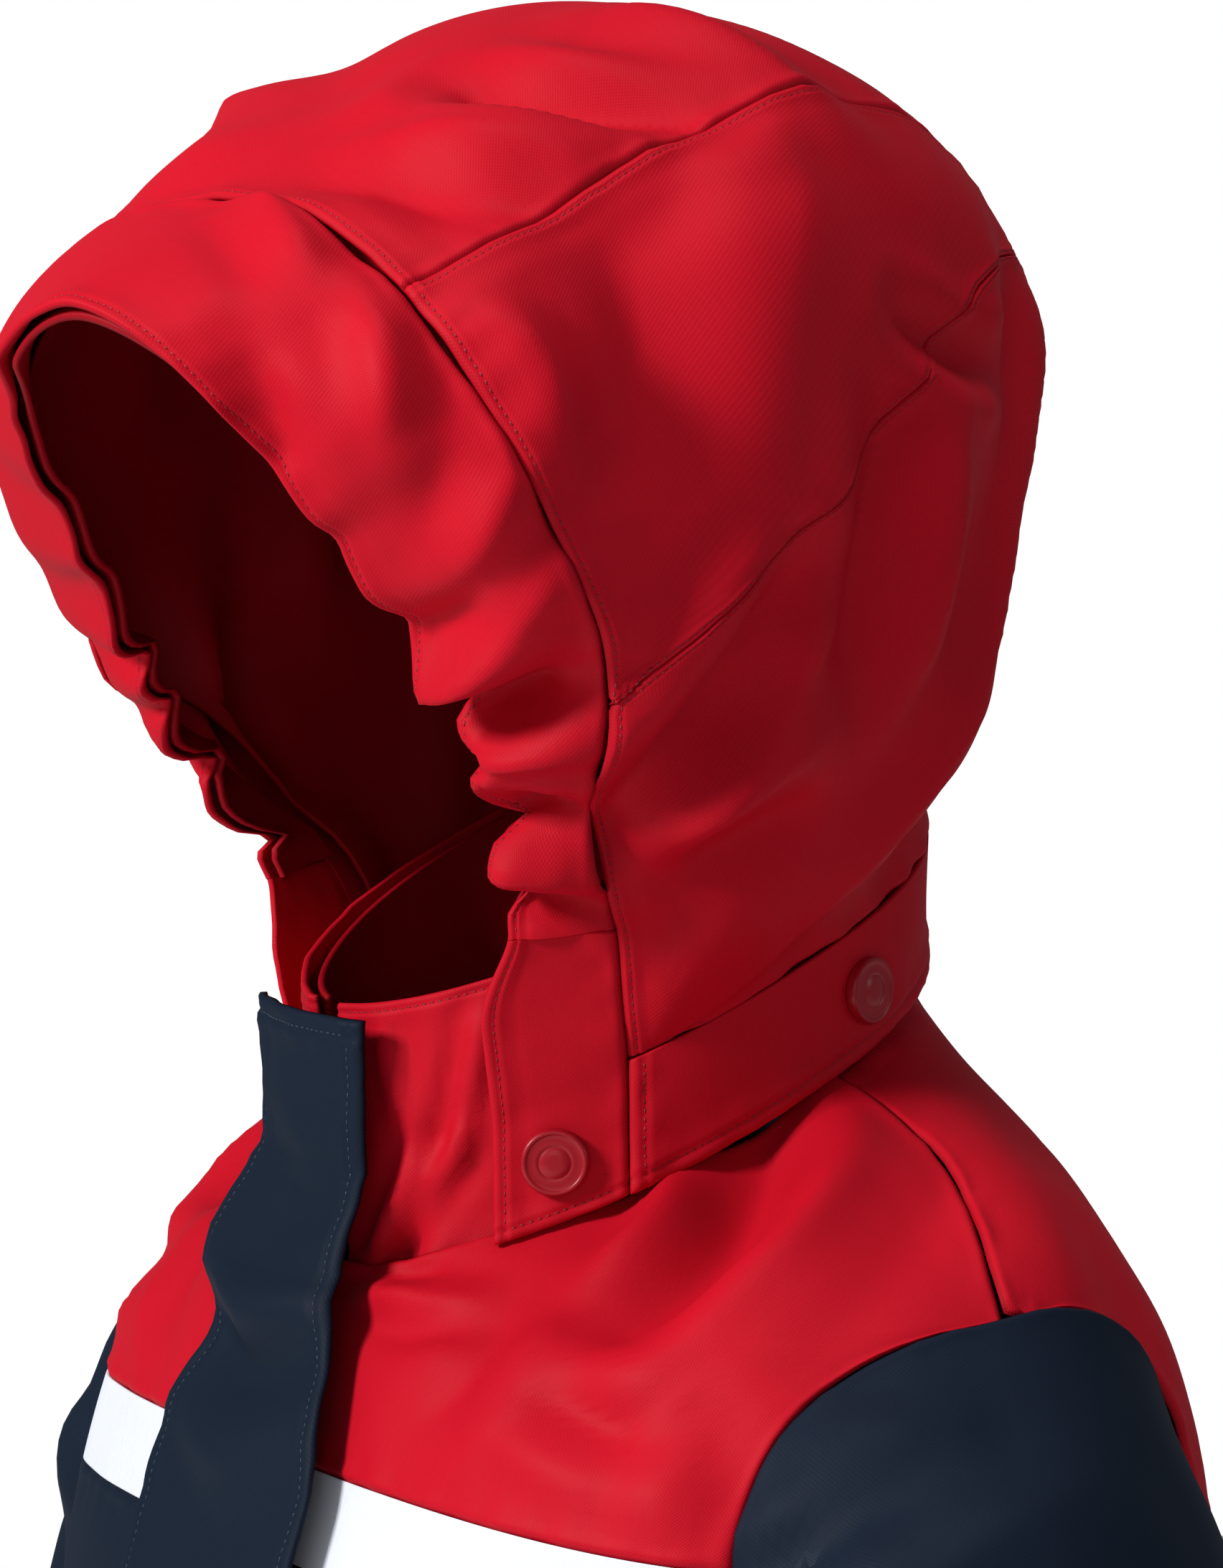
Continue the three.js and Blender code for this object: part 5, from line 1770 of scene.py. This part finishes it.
@dataclass
class Studio:
    """Pale floor, soft lights and the camera."""

    target: tuple[float, float, float] = (0.0, 0.0215, 0.556)
    distance: float = 2.0
    azimuth: float = 62.0
    elevation: float = 7.0
    lens: float = 205.2
    floor_half: float = 1.5

    def build(self) -> None:
        """Sets up the studio."""
        self.floor()
        self.world()
        self.light("key_light", (0.1, -1.9, 1.5), 0.45, 48.0)
        self.light("fill_light", (2.2, -1.3, 1.2), 1.2, 5.0)
        self.light("rim_light", (1.4, 1.7, 1.0), 0.6, 2.5)
        self.light("top_light", (0.2, -0.2, 2.3), 0.4, 11.0)
        self.camera()

    def aim(self, thing: bpy.types.Object, place: Sequence[float]) -> None:
        """Puts a light or camera at a place, looking at the target."""
        thing.location = place
        way = Vector(self.target) - Vector(place)
        thing.rotation_euler = way.to_track_quat("-Z", "Y").to_euler()
        bpy.context.scene.collection.objects.link(thing)

    def light(self, name: str, place: Sequence[float], size: float, power_watts: float) -> None:
        """Adds one soft light."""
        data = bpy.data.lights.new(name, "AREA")
        data.size, data.energy = size, power_watts
        self.aim(bpy.data.objects.new(name, data), place)

    def camera(self) -> None:
        """Adds the camera."""
        a, e = math.radians(self.azimuth), math.radians(self.elevation)
        back = Vector((math.sin(a) * math.cos(e), -math.cos(a) * math.cos(e), math.sin(e)))
        data = bpy.data.cameras.new("camera")
        data.lens, data.sensor_width = self.lens, 36.0
        camera = bpy.data.objects.new("camera", data)
        self.aim(camera, tuple(Vector(self.target) + back * self.distance))
        bpy.context.scene.camera = camera

    def world(self) -> None:
        """Lights everything softly, and shows white behind the object."""
        world = bpy.data.worlds.new("studio")
        bpy.context.scene.world = world
        world.use_nodes = True
        tree = world.node_tree
        tree.nodes.clear()
        soft, white = (tree.nodes.new("ShaderNodeBackground") for _ in range(2))
        soft.inputs["Color"].default_value = (0.86, 0.9, 1.0, 1)
        soft.inputs["Strength"].default_value = 0.17
        white.inputs["Color"].default_value = (1, 1, 1, 1)
        white.inputs["Strength"].default_value = 1.0
        path, mix = tree.nodes.new("ShaderNodeLightPath"), tree.nodes.new("ShaderNodeMixShader")
        out = tree.nodes.new("ShaderNodeOutputWorld")
        tree.links.new(path.outputs["Is Camera Ray"], mix.inputs[0])
        tree.links.new(soft.outputs[0], mix.inputs[1])
        tree.links.new(white.outputs[0], mix.inputs[2])
        tree.links.new(mix.outputs[0], out.inputs["Surface"])
        view = bpy.context.scene.view_settings
        view.view_transform, view.look = "Standard", "None"

    def floor(self) -> None:
        """Lays the floor."""
        net = Net("pale_floor")
        grain = net.noise(3.0, 2.0)
        material = net.surface({"Base Color": net.blend((0.8, 0.8, 0.81, 1), (0.86, 0.86, 0.87, 1), grain),
                                "Roughness": grain * 0.1 + 0.7})
        data = bpy.data.meshes.new("floor")
        half = self.floor_half
        corners = [(-half, -half, 0), (half, -half, 0), (half, half, 0), (-half, half, 0)]
        data.from_pydata(corners, [], [(0, 1, 2, 3)])
        data.materials.append(material)
        floor = bpy.data.objects.new("floor", data)
        bpy.context.scene.collection.objects.link(floor)
        floor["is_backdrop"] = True


def dress_hardware(nodes: dict[str, bpy.types.Object]) -> None:
    """Gives the hidden halves of the press studs their metal."""
    for name, node in nodes.items():
        if name.startswith(("snap_socket", "snap_stud")):
            node.data.materials.clear()
            node.data.materials.append(BRASS.material())


def corners(box: tuple[Vector, Vector]) -> list[list[float]]:
    """A box as plain lists."""
    return [list(corner) for corner in box]


def main() -> None:
    """Builds every piece round the frame."""
    logging.basicConfig(level=logging.INFO, format="%(name)s %(message)s")
    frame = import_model()
    cad_box = corners(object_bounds())
    shop = Workshop()
    Studio().build()
    for part in (JacketBody(shop), CollarStand(shop), HoodAssembly(shop), SleevePair(shop), Closure(shop),
                 Pockets(shop), Snaps(shop)):
        part.build()
        log.info("built %s", type(part).__name__)
    dress_hardware(frame["nodes"])
    {"cad": cad_box, "visual": corners(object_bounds())}


if __name__ == "__main__":
    main()
